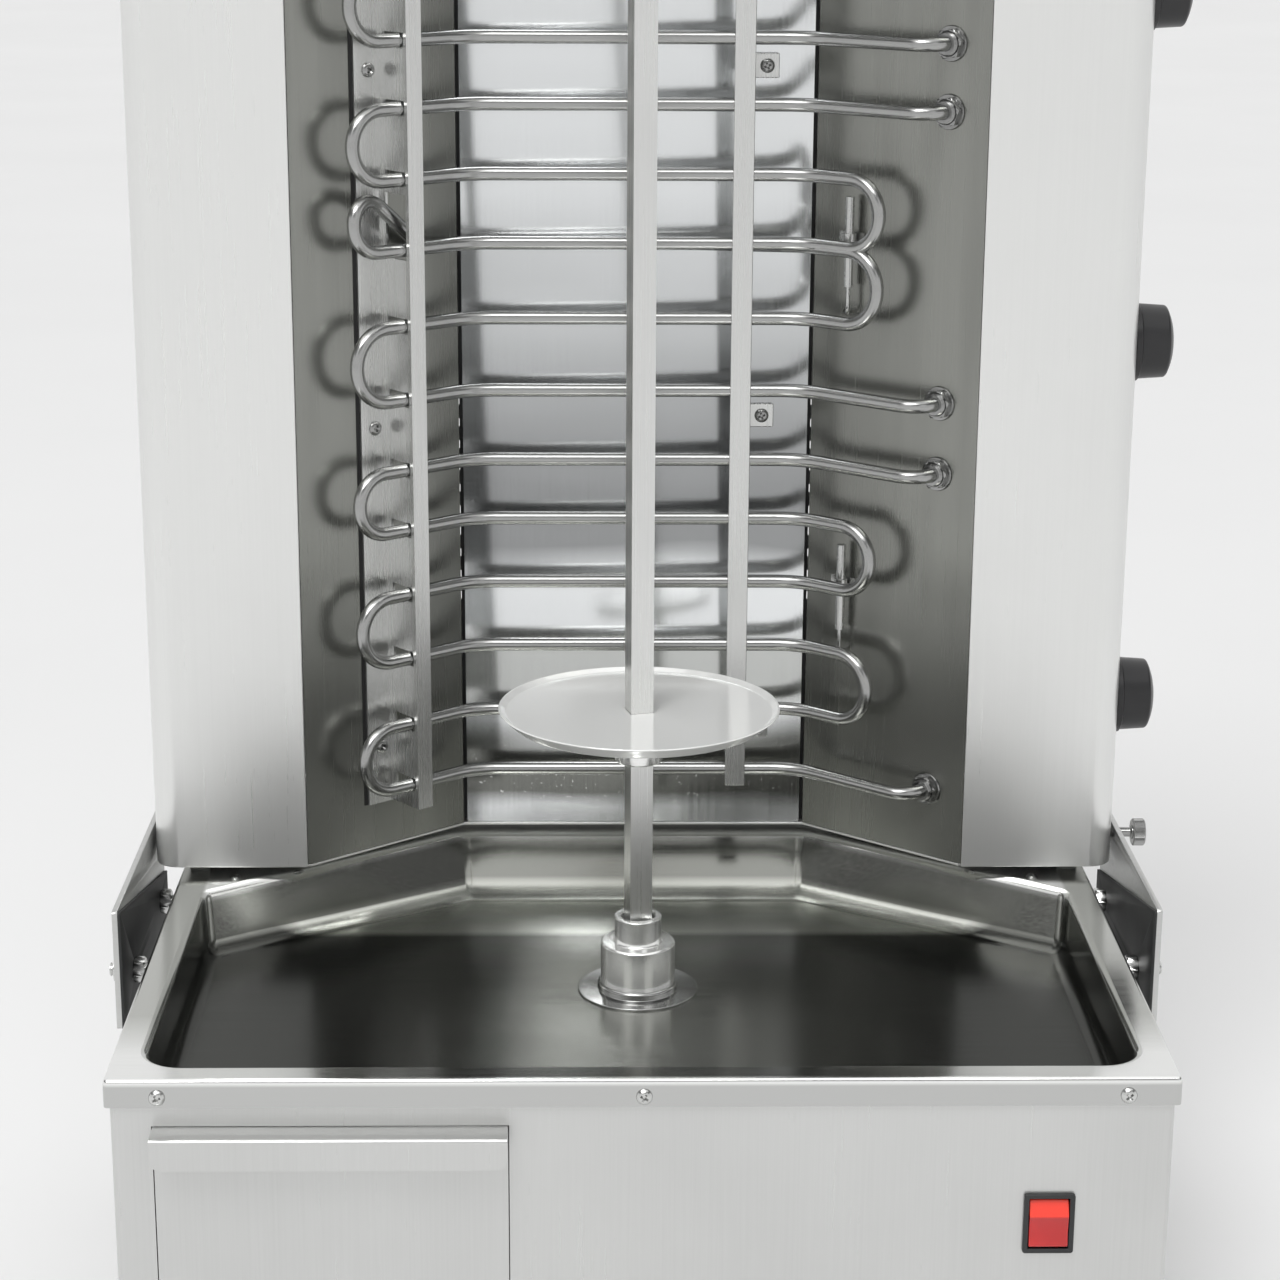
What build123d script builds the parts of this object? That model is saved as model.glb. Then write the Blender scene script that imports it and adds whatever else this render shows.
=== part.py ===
from build123d import *
import os
from math import atan2, cos, degrees, radians, sin, tan

# Electric doner kebab grill: a base cabinet with a drip tray, a driven vertical spit,
# and an upright heater column that slides back behind it.
# Millimetres, +Z up, front towards -Y. The spit's axis is X = 0, Y = 0. The feet stand on Z = 0.

# Sheet metal and running clearances
sheet = 1.5
reflector_sheet = 1.0
gap = 0.3
fit = 0.05

# Base cabinet and feet
foot_height = 22.0
foot_radius = 17.0
foot_inset = 40.0
foot_taper = 3.0
rim_z = 250.0
tray_half_width = 270.0
tray_front_y = -191.5
tray_overhang = 2.5
cabinet_half_width = tray_half_width - tray_overhang
cabinet_front_y = tray_front_y + tray_overhang
cabinet_rear_y = 262.0
cabinet_corner = 3.0
vent_count = 9
vent_pitch = 14.0
vent_length = 70.0
vent_width = 4.0
vent_z = 110.0

# Drip tray
tray_rear_y = 190.0
skirt_height = 15.0
rim_width = 17.5
basin_depth = 32.0
basin_side_y = 68.0
basin_rear_y = 176.5
basin_rear_half = 104.0
basin_corner = 20.0
basin_wall_run = 4.0
basin_rear_run = 35.0
rim_bend = 3.0
tray_screw_inset = 27.0
tray_screw_drop = 9.5
tray_screw_side_y = (-120.0, 40.0, 150.0)
tray_relief = 0.5
shaft_clearance = 2.0
deck_overhang = 2.0

# Heads of the sheet-metal screws
head_radius = 4.2
head_depth = 2.4
small_head_radius = 3.6
small_head_depth = 2.2

# Drawer
drawer_inset = 21.5
drawer_bracket_gap = 8.6
drawer_top_drop = 27.0
drawer_height = 120.0
drawer_depth = 290.0
lip_reach = 16.0
lip_height = 15.5
lip_corner = 6.0
drawer_travel_clearance = 0.8
box_side_inset = 6.0
box_top_drop = 14.0
box_rise = 6.0
runner_width = 10.0
runner_setback = 2.0

# Rocker switch
switch_inset = 61.5
switch_x = cabinet_half_width - switch_inset
switch_drop = 81.0
bezel_width = 26.0
bezel_height = 33.0
bezel_thick = 2.2
rocker_width = 20.0
rocker_height = 25.4
rocker_angle = 9.0
switch_depth = 26.0
switch_lap = 2.0
bezel_corner = 1.5
bezel_lip = 2.4
well_depth = 10.0
well_clearance = 1.2
rocker_proud = 3.2
rocker_back = 3.0

# Drive under the tray
flange_radius = 33.7
flange_thick = 3.0
bead_radius = 22.3
bead_height = 6.4
hub_radius = 20.9
hub_height = 19.5
socket_radius = 13.3
socket_height = 15.2
socket_bore = 9.4
socket_mouth = 6.0
shaft_radius = 10.0
bearing_radius = 24.0
bearing_height = 26.0
gearbox_width = 96.0
gearbox_length = 120.0
gearbox_height = 52.0
motor_radius = 31.0
motor_length = 84.0
motor_offset = 18.0
gearbox_drop = 16.0
gearbox_corner = 12.0
gearbox_socket = 30.0
shaft_engagement = 28.0
bearing_foot = 10.0
bearing_foot_thick = 4.0
bracket_left_x = -60.0
bracket_half_depth = 50.0
bracket_thick = 3.0
bracket_flange = 40.0
bracket_toe = 30.0
spacer_radius = 5.0
spacer_x = 36.0
spacer_y = 42.0

# Spit, plate and collar
spit_side = 12.7
spit_turn = 15.0
spit_seat = 24.0
spit_pin_radius = 6.0
spit_pin_length = 62.0
spit_rise = 18.0
plate_radius = 77.5
plate_thick = 2.0
plate_rim = 7.0
plate_height = 128.0
collar_radius = 13.0
collar_height = 22.0
set_screw_radius = 3.0
set_screw_setback = 1.5
turned_chamfer = 0.8
edge_chamfer = 1.0
hub_chamfer = 1.2

# Heater column
head_clearance = 5.0
head_height = 730.0
head_overhang = 15.0
head_half_width = tray_half_width + head_overhang
head_front_y = 95.0
head_rear_y = cabinet_rear_y
head_corner = 15.0
head_travel = 60.0
wing_width = 91.0
mouth_half = head_half_width - wing_width
back_half = 104.6
back_y = 170.0
rear_return = 22.0
mouth_reach = 20.0
panel_return = 14.0
fold_play = 0.4
glide_width = 12.0
glide_inset = 3.0
glide_front_inset = 22.0
glide_rear_inset = 8.0
bottom_screw_y = 103.0
bottom_screw_inset = 47.0

# Heating elements: heights above the rim of the straight runs, lowest first, for a column of drawn_height
drawn_height = 730.0
height_share = head_height / drawn_height
tube_radius = 4.0
tube_standoff = 20.0
lower_run_heights = (48.7, 86.9, 127.2, 166.4, 205.1, 240.8)
middle_run_heights = (282.1, 324.7, 366.9, 368.3, 408.0, 447.6)
upper_run_heights = (485.1, 523.7, 562.3, 600.9, 639.5, 678.1)
lower_runs = tuple(height * height_share for height in lower_run_heights)
middle_runs = tuple(height * height_share for height in middle_run_heights)
upper_runs = tuple(height * height_share for height in upper_run_heights)
left_turn_x = 158.7
right_turn_x = 136.3
hidden_standoff = 10.0
hidden_from_x = 30.0
curl_rise = 27.0
curl_length = 16.0
curl_drop = 46.0
terminal_inset = 20.2
terminal_x = mouth_half - terminal_inset
terminal_length = 28.0
tube_bend = 14.0
gland_radius = 9.2
gland_length = 7.0
gland_nut_radius = 11.0
gland_bore = 5.0

# Element holders
left_holder_outer_x = 160.0
left_holder_inner_x = 145.2
holder_web = 25.5
holder_lip = 9.0
holder_sheet = 1.5
right_bar_x = 61.0
right_bar_width = 12.0
right_bar_thick = 2.0
right_tab_x = 75.0
holder_foot = 34.5
holder_top_drop = 30.0
holder_top = head_height - holder_top_drop
holder_screw_rows = (70.0, 263.5, 468.0, 660.0)
holder_screw_heights = tuple(height * height_share for height in holder_screw_rows)

# Heat probes on the right reflector
probe_radius = 2.6
probe_length = 52.0
probe_top_heights = (396.0, 190.0)
probe_tops = tuple(height * height_share for height in probe_top_heights)
probe_x = 122.5
probe_standoff = 7.0
capillary_radius = 1.2
capillary_drop = 16.0
clip_half_height = 5.0
clip_wall = 1.4
clip_thick = 1.0
clip_tail = 12.0
clip_toe = 5.0
clip_neck = 2.2

# Knobs and regulators on the right wing
knob_y = 135.0
knob_rows = (101.0, 314.5, 514.0)
knob_heights = tuple(height * height_share for height in knob_rows)
knob_radius = 23.0
knob_depth = 24.5
knob_gap = 0.8
knob_foot = 4.0
knob_dome = 4.5
knob_shoulder = 1.5
knob_bore = 13.0
spindle_radius = 3.0
regulator_size = 46.0
regulator_depth = 34.0

# Side arms, their bolts and the locking screw
arm_clearance = 2.0
arm_x = head_half_width + arm_clearance
arm_thick = 3.0
arm_front_y = -27.0
arm_rear_y = 240.0
arm_low_rear_y = 147.0
arm_top = 25.0
arm_bottom = -45.0
arm_foot_top = -2.0
gusset_thick = 1.6
arm_bolt_y = (12.0, 118.0)
arm_bolt_drop = 25.0
bolt_radius = 4.0
nut_radius = 7.5
nut_height = 6.5
lock_y = 120.0
lock_rise = 18.0
lock_shaft_radius = 2.9
lock_reach = 9.8
lock_head_x = arm_x + arm_thick + lock_reach
lock_head_length = 7.4
lock_head_radius = 8.2

# Top of the column
cap_height = 12.0
lid_lap = 14.0
lid_overhang = 1.5
lid_rear_overhang = 3.0
lid_edge = 5.0
top_arm_width = 44.0
top_arm_thick = 6.0
top_arm_reach = 84.0
top_arm_tail = 90.0
top_rib_thick = 3.0
top_rib_height = 9.0
top_rib_inset = 12.0
top_bolt_radius = 4.0
top_bolt_height = 4.0
top_bolt_x = 14.2
top_bolt_back = (20.0, 60.0)
top_liner = 3.2
top_slot_slack = 6.0

# Rear cover
rear_cover_inset = 12.0
rear_cover_foot = 2.0
rear_cover_drop = 16.0
rear_slot_count = 10
rear_slot_pitch = 14.0
rear_slot_height = 5.0
rear_slot_fields = (120.0, 520.0)
rear_slot_inner_x = 40.0
rear_slot_side_inset = 105.0
rear_screw_inset = 17.0
rear_screw_foot = 30.0
rear_screw_rows = 4

# Cord inlet in the rear wall
inlet_inset = 87.5
inlet_x = inlet_inset - cabinet_half_width
inlet_z = 70.0
inlet_bore = 4.0
gland_body_radius = 9.0
gland_hex_radius = 13.0
gland_hex_length = 7.0
gland_nose = 15.0
gland_tail = 14.0

# Terminal block on the cabinet floor
terminals = 5
terminal_pitch = 12.0
terminal_slot = 8.0
terminal_side = 6.0
block_left = 35.0
block_rear_gap = 34.0
block_depth = 28.0
block_height = 22.0
block_slot_depth = 10.0

# Heights and planes worked out from the sizes above
drawer_left_x = drawer_inset - cabinet_half_width
drawer_right_x = bracket_left_x - drawer_bracket_gap
head_z = rim_z + head_clearance
head_top = head_z + head_height
floor_z = rim_z - basin_depth
side_angle = atan2(back_y - head_front_y, mouth_half - back_half)
flange_top = floor_z + flange_thick
hub_z = flange_top + bead_height + gap
socket_z = hub_z + hub_height
hub_top = socket_z + socket_height
spit_z = hub_top - spit_seat + gap
arm_plate_z = head_top + cap_height
spit_top = arm_plate_z + top_arm_thick + spit_rise
floor_top = foot_height + 2 * sheet
bearing_z = floor_z - sheet - bearing_height
gearbox_top = bearing_z - gearbox_drop
bracket_top = bearing_z - gap
switch_z = rim_z - switch_drop
lock_z = rim_z + lock_rise
arm_bolt_z = rim_z - arm_bolt_drop


def block(x0, x1, y0, y1, z0, z1):
    """Box between two corners."""
    return Pos((x0 + x1) / 2, (y0 + y1) / 2, (z0 + z1) / 2) * Box(x1 - x0, y1 - y0, z1 - z0)


def drum(radius, z0, z1, x=0.0, y=0.0):
    """Upright cylinder."""
    return Pos(x, y, (z0 + z1) / 2) * Cylinder(radius, z1 - z0)


def drum_x(radius, x0, x1, y, z):
    """Cylinder along X."""
    return Pos((x0 + x1) / 2, y, z) * Rot(0, 90, 0) * Cylinder(radius, abs(x1 - x0))


def drum_y(radius, y0, y1, x, z):
    """Cylinder along Y."""
    return Pos(x, (y0 + y1) / 2, z) * Rot(90, 0, 0) * Cylinder(radius, abs(y1 - y0))


def nut_x(radius, x0, x1, y, z):
    """Hexagonal nut along X."""
    profile = Pos(min(x0, x1), y, z) * Rot(0, 90, 0) * RegularPolygon(radius, 6)
    return extrude(profile, amount=abs(x1 - x0), dir=(1, 0, 0))


def outline(points, radii=0.0):
    """Closed face in plan; radii rounds every corner, or each in turn."""
    if not radii:
        return make_face(Polyline(*points, close=True))
    return make_face(FilletPolyline(*points, radius=radii, close=True))


def prism(points, z0, z1, radii=0.0):
    """Upright prism of a plan outline."""
    return Pos(0, 0, z0) * extrude(outline(points, radii), amount=z1 - z0, dir=(0, 0, 1))


def rectangle_plan(half, y0, y1):
    return [(-half, y0), (half, y0), (half, y1), (-half, y1)]


def flank_y(x, standoff=0.0):
    """Y of a line in front of the slanted reflector, at distance standoff from it."""
    return head_front_y + (mouth_half - abs(x)) * tan(side_angle) - standoff / cos(side_angle)


def flank_point(x, standoff, side):
    return side * x, flank_y(x, standoff)


def flank_step(x, along, out, side):
    """Point reached from the reflector at x by going along it to the rear, then out in front."""
    px = x - along * cos(side_angle) - out * sin(side_angle)
    py = flank_y(x) + along * sin(side_angle) - out * cos(side_angle)
    return side * px, py


def save(name, part):
    part.label = name
    export_step(part, os.path.join("parts", name + ".step"))


def group(pieces):
    return Compound(children=list(pieces))


# Drip tray: a pressed hexagonal basin inside a folded rim
def basin_plan(grow=0.0, side_run=0.0, rear_run=0.0):
    half = tray_half_width - rim_width - side_run + grow
    front = tray_front_y + rim_width + side_run - grow
    rear = basin_rear_y - rear_run + grow
    side = basin_side_y - rear_run * 0.5 + grow * 0.5
    back_corner = basin_rear_half - side_run + grow * 0.4
    return [(-half, front), (half, front), (half, side), (back_corner, rear),
            (-back_corner, rear), (-half, side)]


def basin_solid(grow):
    radii = [basin_corner] * 2 + [basin_corner / 2] * 4
    top = Pos(0, 0, rim_z) * outline(basin_plan(grow), radii)
    low = Pos(0, 0, floor_z - grow) * outline(basin_plan(grow, basin_wall_run, basin_rear_run), radii)
    return loft([low, top], ruled=True)


def drip_tray():
    outer = block(-tray_half_width, tray_half_width, tray_front_y, tray_rear_y,
                  rim_z - skirt_height, rim_z)
    outer = fillet(outer.faces().sort_by(Axis.Z)[-1].edges(), rim_bend)
    inner = block(-tray_half_width + sheet, tray_half_width - sheet, tray_front_y + sheet,
                  tray_rear_y + 1, rim_z - skirt_height - 1, rim_z - sheet)
    pan = outer - inner + basin_solid(sheet) - basin_solid(0.0)
    return pan - drum(shaft_radius + shaft_clearance, floor_z - 10, floor_z + 10)


def tray_screw_heads():
    z = rim_z - tray_screw_drop
    screw_x = tray_half_width - tray_screw_inset
    heads = [drum_y(head_radius, tray_front_y - head_depth, tray_front_y, x, z)
             for x in (-screw_x, 0.0, screw_x)]
    for y in tray_screw_side_y:
        heads += [drum_x(head_radius, side * tray_half_width, side * (tray_half_width + head_depth), y, z)
                  for side in (-1, 1)]
    return group(heads)


# Base cabinet
def base_cabinet():
    top = rim_z - sheet
    wall = prism(rectangle_plan(cabinet_half_width, cabinet_front_y, cabinet_rear_y),
                 foot_height, top, cabinet_corner)
    hollow = block(-cabinet_half_width + sheet, cabinet_half_width - sheet, cabinet_front_y + sheet,
                   cabinet_rear_y - sheet, foot_height - 1, top + 1)
    cut = drawer_travel_clearance
    mouth = block(drawer_left_x - cut, drawer_right_x + cut, cabinet_front_y - 1,
                  cabinet_front_y + sheet + 1, rim_z - drawer_top_drop - drawer_height - cut,
                  rim_z - drawer_top_drop + cut)
    half_x = bezel_width / 2 - switch_lap
    half_z = bezel_height / 2 - switch_lap
    switch = block(switch_x - half_x, switch_x + half_x, cabinet_front_y - 1, cabinet_front_y + sheet + 1,
                   switch_z - half_z, switch_z + half_z)
    cabinet = wall - hollow - mouth - switch
    relief = block(-cabinet_half_width - 1, cabinet_half_width + 1, cabinet_front_y - 1,
                   tray_rear_y + 1, top - tray_relief, top + 1)
    for index in range(vent_count):
        x = (index - (vent_count - 1) / 2) * vent_pitch
        cabinet -= block(x - vent_width / 2, x + vent_width / 2, cabinet_rear_y - sheet - 1,
                         cabinet_rear_y + 1, vent_z, vent_z + vent_length)
    for y in arm_bolt_y:
        cabinet -= drum_x(bolt_radius + fit, -cabinet_half_width - 1, cabinet_half_width + 1,
                          y, arm_bolt_z)
    return cabinet - relief - drum_y(gland_body_radius + fit, cabinet_rear_y - sheet - 1,
                                     cabinet_rear_y + 1, inlet_x, inlet_z)


def base_floor():
    inner = cabinet_half_width - sheet - gap
    return block(-inner, inner, cabinet_front_y + sheet + gap, cabinet_rear_y - sheet - gap,
                 foot_height, floor_top)


def feet():
    pads = []
    for side in (-1, 1):
        for y in (cabinet_front_y + foot_inset, cabinet_rear_y - foot_inset):
            x = side * (cabinet_half_width - foot_inset)
            pads.append(Pos(x, y, foot_height / 2) * Cone(foot_radius - foot_taper, foot_radius, foot_height))
    return group(pads)


def rear_deck():
    """Cover of the cabinet behind the tray, level with its rim."""
    front = tray_rear_y + gap
    deck = block(-tray_half_width, tray_half_width, front, cabinet_rear_y + deck_overhang,
                 rim_z - skirt_height, rim_z)
    hollow = block(-tray_half_width + sheet, tray_half_width - sheet, front - 1,
                   cabinet_rear_y + deck_overhang - sheet, rim_z - skirt_height - 1, rim_z - sheet)
    return deck - hollow


def drawer_box():
    x0 = drawer_left_x + box_side_inset
    x1 = drawer_right_x - box_side_inset
    z1 = rim_z - drawer_top_drop - box_top_drop
    z0 = rim_z - drawer_top_drop - drawer_height + box_rise
    y0 = cabinet_front_y + sheet
    outer = block(x0, x1, y0, y0 + drawer_depth, z0, z1)
    inner = block(x0 + sheet, x1 - sheet, y0 + sheet, y0 + drawer_depth - sheet, z0 + sheet, z1 + 1)
    return outer - inner


def drawer_front():
    """Front panel with the folded lip that the fingers pull."""
    cut = drawer_travel_clearance
    x0 = drawer_left_x + cut
    x1 = drawer_right_x - cut
    top = rim_z - drawer_top_drop - cut
    panel = block(x0, x1, cabinet_front_y, cabinet_front_y + sheet, top - drawer_height + 2 * cut, top)
    shelf = block(x0, x1, cabinet_front_y - lip_reach, cabinet_front_y, top - sheet, top)
    lip = block(x0, x1, cabinet_front_y - lip_reach, cabinet_front_y - lip_reach + sheet,
                top - lip_height, top)
    corners = lip.edges().filter_by(Axis.Y).group_by(Axis.Z)[0]
    lip = fillet(corners, lip_corner)
    return panel + shelf + lip


def drawer_runners():
    """Two rails that carry the drawer's sides from the cabinet floor."""
    z1 = rim_z - drawer_top_drop - drawer_height + box_rise - gap
    y0 = cabinet_front_y + sheet + runner_setback
    rails = []
    for x in (drawer_left_x + box_side_inset, drawer_right_x - box_side_inset - runner_width):
        post = block(x, x + runner_width, y0, y0 + drawer_depth, floor_top, z1)
        core = block(x + sheet, x + runner_width + 1, y0 - 1, y0 + drawer_depth + 1,
                     floor_top + sheet, z1 - sheet)
        rails.append(post - core)
    return group(rails)


# Rocker switch
def switch_bezel():
    half_x, half_z = bezel_width / 2, bezel_height / 2
    frame = block(switch_x - half_x, switch_x + half_x, cabinet_front_y - bezel_thick, cabinet_front_y,
                  switch_z - half_z, switch_z + half_z)
    frame = fillet(frame.edges().filter_by(Axis.Y), bezel_corner)
    half_x -= bezel_lip
    half_z -= bezel_lip
    body = block(switch_x - half_x, switch_x + half_x, cabinet_front_y, cabinet_front_y + switch_depth,
                 switch_z - half_z, switch_z + half_z)
    half_x = rocker_width / 2 + gap
    half_z = rocker_height / 2 + well_clearance
    well = block(switch_x - half_x, switch_x + half_x, cabinet_front_y - bezel_thick - 1,
                 cabinet_front_y + well_depth, switch_z - half_z, switch_z + half_z)
    return frame + body - well


def switch_rocker():
    """Rocker with two faces that meet at a shallow angle, upper end pressed in."""
    half = rocker_height / 2
    dip = half * tan(radians(rocker_angle))
    crest = cabinet_front_y - rocker_proud
    back = cabinet_front_y + rocker_back
    profile = [(crest + 2 * dip, switch_z + half), (crest, switch_z), (crest, switch_z - half),
               (back + 1.5, switch_z - half + 2.0), (back + 5.0, switch_z), (back + 1.5, switch_z + half - 2.0)]
    face = make_face(Polyline(*[(switch_x - rocker_width / 2, y, z) for y, z in profile], close=True))
    return extrude(face, amount=rocker_width, dir=(1, 0, 0))


# Gear motor and the shaft that drives the spit
def gear_motor():
    case = block(-gearbox_width / 2, gearbox_width / 2, -gearbox_length / 2, gearbox_length / 2,
                 gearbox_top - gearbox_height, gearbox_top)
    case = fillet(case.edges().filter_by(Axis.Z), gearbox_corner)
    low = gearbox_top - gearbox_height
    can = drum(motor_radius, low - motor_length, low, 0.0, motor_offset)
    return case + can - drum(shaft_radius + fit, gearbox_top - gearbox_socket, gearbox_top + 1)


def motor_bracket():
    """Bridge over the cabinet that carries the gear motor and the bearing under the tray."""
    z0 = bracket_top - bracket_thick
    inner = cabinet_half_width - sheet - gap
    left, half = bracket_left_x, bracket_half_depth
    bridge = block(left, inner, -half, half, z0, bracket_top)
    flange = block(inner - bracket_thick, inner, -half, half, z0 - bracket_flange, z0)
    leg = block(left, left + bracket_thick, -half, half, floor_top, z0)
    toe = block(left, left + bracket_toe, -half, half, floor_top, floor_top + bracket_thick)
    return bridge + flange + leg + toe - drum(shaft_radius + shaft_clearance, z0 - 1, bracket_top + 1)


def motor_spacers():
    return group(drum(spacer_radius, gearbox_top, bracket_top - bracket_thick, sx * spacer_x, sy * spacer_y)
                 for sx in (-1, 1) for sy in (-1, 1))


def shaft_bearing():
    body = drum(bearing_radius, bearing_z, bearing_z + bearing_height)
    body += drum(bearing_radius + bearing_foot, bearing_z, bearing_z + bearing_foot_thick)
    return body - drum(shaft_radius + fit, bearing_z - 1, bearing_z + bearing_height + 1)


def seal_flange():
    """Fixed disc with a rolled bead, on the tray floor round the shaft."""
    disc = drum(flange_radius, floor_z, flange_top)
    disc = chamfer(disc.faces().sort_by(Axis.Z)[-1].edges(), turned_chamfer)
    bead = drum(bead_radius, flange_top, flange_top + bead_height)
    bead = fillet(bead.faces().sort_by(Axis.Z)[-1].edges(), bead_height * 0.45)
    return disc + bead - drum(shaft_radius + fit, floor_z - 1, hub_z + 1)


def drive_hub():
    """Turned hub: a wide drum below, the socket for the spit above."""
    low = drum(hub_radius, hub_z, socket_z)
    low = chamfer(low.faces().sort_by(Axis.Z)[-1].edges(), hub_chamfer)
    high = drum(socket_radius, socket_z, hub_top)
    high = chamfer(high.faces().sort_by(Axis.Z)[-1].edges(), turned_chamfer)
    square = Rot(0, 0, spit_turn) * Box(spit_side + 2 * gap, spit_side + 2 * gap, 4 * spit_seat)
    mouth = drum(socket_bore, hub_top - socket_mouth, hub_top + 1)
    broach = (Pos(0, 0, hub_top) * square) & block(-30, 30, -30, 30, hub_top - spit_seat, hub_top + 1)
    return low + high - mouth - broach


def drive_shaft():
    shaft = drum(shaft_radius, gearbox_top - shaft_engagement, hub_z)
    return chamfer(shaft.faces().sort_by(Axis.Z)[0].edges(), edge_chamfer)


# Spit with its plate
def spit_rod():
    z1 = spit_top - spit_pin_length
    bar = Pos(0, 0, (spit_z + z1) / 2) * Rot(0, 0, spit_turn) * Box(spit_side, spit_side, z1 - spit_z)
    bar = chamfer(bar.faces().sort_by(Axis.Z)[0].edges(), edge_chamfer)
    pin = drum(spit_pin_radius, z1, spit_top)
    return bar + chamfer(pin.faces().sort_by(Axis.Z)[-1].edges(), 2 * edge_chamfer)


def spit_hole(z0, z1):
    side = spit_side + 2 * gap
    return Pos(0, 0, (z0 + z1) / 2) * Rot(0, 0, spit_turn) * Box(side, side, z1 - z0)


def meat_plate():
    z0 = rim_z + plate_height
    lower = plate_radius - 1.5
    edge = [(0, z0), (lower - 3.0, z0), (lower, z0 + 2.6), (plate_radius, z0 + plate_rim),
            (plate_radius - plate_thick * 0.8, z0 + plate_rim), (lower - plate_thick, z0 + 4.0),
            (lower - 4.5, z0 + plate_thick), (0, z0 + plate_thick)]
    face = make_face(Polyline(*[(x, 0, z) for x, z in edge], close=True))
    return revolve(face, Axis.Z) - spit_hole(z0 - 1, z0 + plate_thick + 1)


def plate_collar():
    z1 = rim_z + plate_height
    body = drum(collar_radius, z1 - collar_height, z1)
    body = chamfer(body.faces().sort_by(Axis.Z)[0].edges(), edge_chamfer)
    hole = drum_y(set_screw_radius + fit, -collar_radius - 1, 0, 0, z1 - collar_height / 2)
    return body - spit_hole(z1 - collar_height - 1, z1 + 1) - hole


def set_screw():
    z = rim_z + plate_height - collar_height / 2
    seat = -spit_side / 2 / cos(radians(spit_turn)) - set_screw_radius * tan(radians(spit_turn)) - gap
    return drum_y(set_screw_radius, -collar_radius + set_screw_setback, seat, 0, z)


# Heater column: outer shell, covers and reflectors
def mouth_plan(grow=0.0):
    """Plan of the open space in front of the reflectors, grown into the sheets by grow."""
    front = mouth_half + grow / sin(side_angle)
    corner = back_half + grow * (1 / cos(side_angle) - 1) / tan(side_angle)
    return [(-front, head_front_y - mouth_reach), (front, head_front_y - mouth_reach), (front, head_front_y),
            (corner, back_y + grow), (-corner, back_y + grow), (-front, head_front_y)]


def shell_plan(inset=0.0):
    return rectangle_plan(head_half_width - inset, head_front_y + inset, head_rear_y - inset)


def wing(side):
    """Shell of one wing: front strip, side wall with rounded corners, and a narrow rear return."""
    shell = prism(shell_plan(), head_z, head_top, head_corner)
    shell -= prism(shell_plan(sheet), head_z - 1, head_top + 1, head_corner - sheet)
    inner = side * mouth_half
    x0, x1 = sorted((inner, side * (head_half_width + 1)))
    shell = shell & block(x0, x1, head_front_y - 1, head_rear_y + 1, head_z, head_top)
    x0, x1 = sorted((inner - side, side * (head_half_width - rear_return)))
    shell -= block(x0, x1, head_rear_y - sheet - 1, head_rear_y + 1, head_z - 1, head_top + 1)
    if side > 0:
        for height in knob_heights:
            shell -= drum_x(spindle_radius + 1.0, head_half_width - 5, head_half_width + 5,
                            knob_y, rim_z + height)
    return shell


def reflector(side):
    """Slanted sheet from the front fold to the back panel, with a flange behind the fold."""
    front = flank_step(mouth_half, fold_play, 0.0, side)
    front_behind = flank_step(mouth_half, fold_play + sheet, -reflector_sheet, side)
    back = flank_step(back_half, -fold_play / 2, 0.0, side)
    back_behind = flank_step(back_half, -fold_play / 2, -reflector_sheet, side)
    plan = [front, back, back_behind, front_behind]
    z1 = head_top - sheet - gap
    panel = prism(plan if side > 0 else plan[::-1], head_z + sheet + gap, z1)
    if side > 0:
        for height in terminal_heights():
            panel -= flank_drum(gland_bore, terminal_x, -4.0, 4.0, rim_z + height, side)
        for top in probe_tops:
            wall_x, wall_y = probe_entry()
            panel -= drum_y(capillary_radius + gap, wall_y - 8, wall_y + 8, wall_x,
                            rim_z + top - probe_length - capillary_drop)
    return panel


def flank_drum(radius, x, out0, out1, z, side):
    """Cylinder square to a slanted reflector, between two distances in front of it."""
    x0, y0 = flank_step(x, 0.0, out0, side)
    x1, y1 = flank_step(x, 0.0, out1, side)
    turn = degrees(atan2(y1 - y0, x1 - x0))
    middle = Pos((x0 + x1) / 2, (y0 + y1) / 2, z) * Rot(0, 0, turn) * Rot(0, 90, 0)
    return middle * Cylinder(radius, abs(out1 - out0))


def back_reflector():
    """Flat mirror panel with its side edges folded to the rear."""
    z0 = head_z + sheet + gap
    z1 = head_top - sheet - gap
    panel = block(-back_half, back_half, back_y, back_y + reflector_sheet, z0, z1)
    for side in (-1, 1):
        x0, x1 = sorted((side * (back_half - reflector_sheet), side * back_half))
        panel += block(x0, x1, back_y + reflector_sheet, back_y + panel_return, z0, z1)
    return panel


def bottom_cover():
    """Bottom plate of the column, cut out in front of the reflectors."""
    plate = prism(shell_plan(sheet + gap), head_z, head_z + sheet, head_corner - sheet)
    return plate - prism(mouth_plan(0.0), head_z - 1, head_z + sheet + 1)


def top_cover():
    """Lid over the whole column, with a turned-down edge."""
    lid = prism(rectangle_plan(head_half_width + lid_overhang, head_front_y - lid_overhang,
                               head_rear_y + lid_rear_overhang),
                head_top - lid_lap, head_top + cap_height, head_corner + lid_overhang)
    lid = fillet(lid.faces().sort_by(Axis.Z)[-1].edges(), lid_edge)
    hollow = prism(rectangle_plan(head_half_width + gap / 2, head_front_y - gap / 2,
                                  head_rear_y + sheet + gap),
                   head_top - lid_lap - 1, head_top, head_corner + gap / 2)
    return lid - hollow


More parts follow.
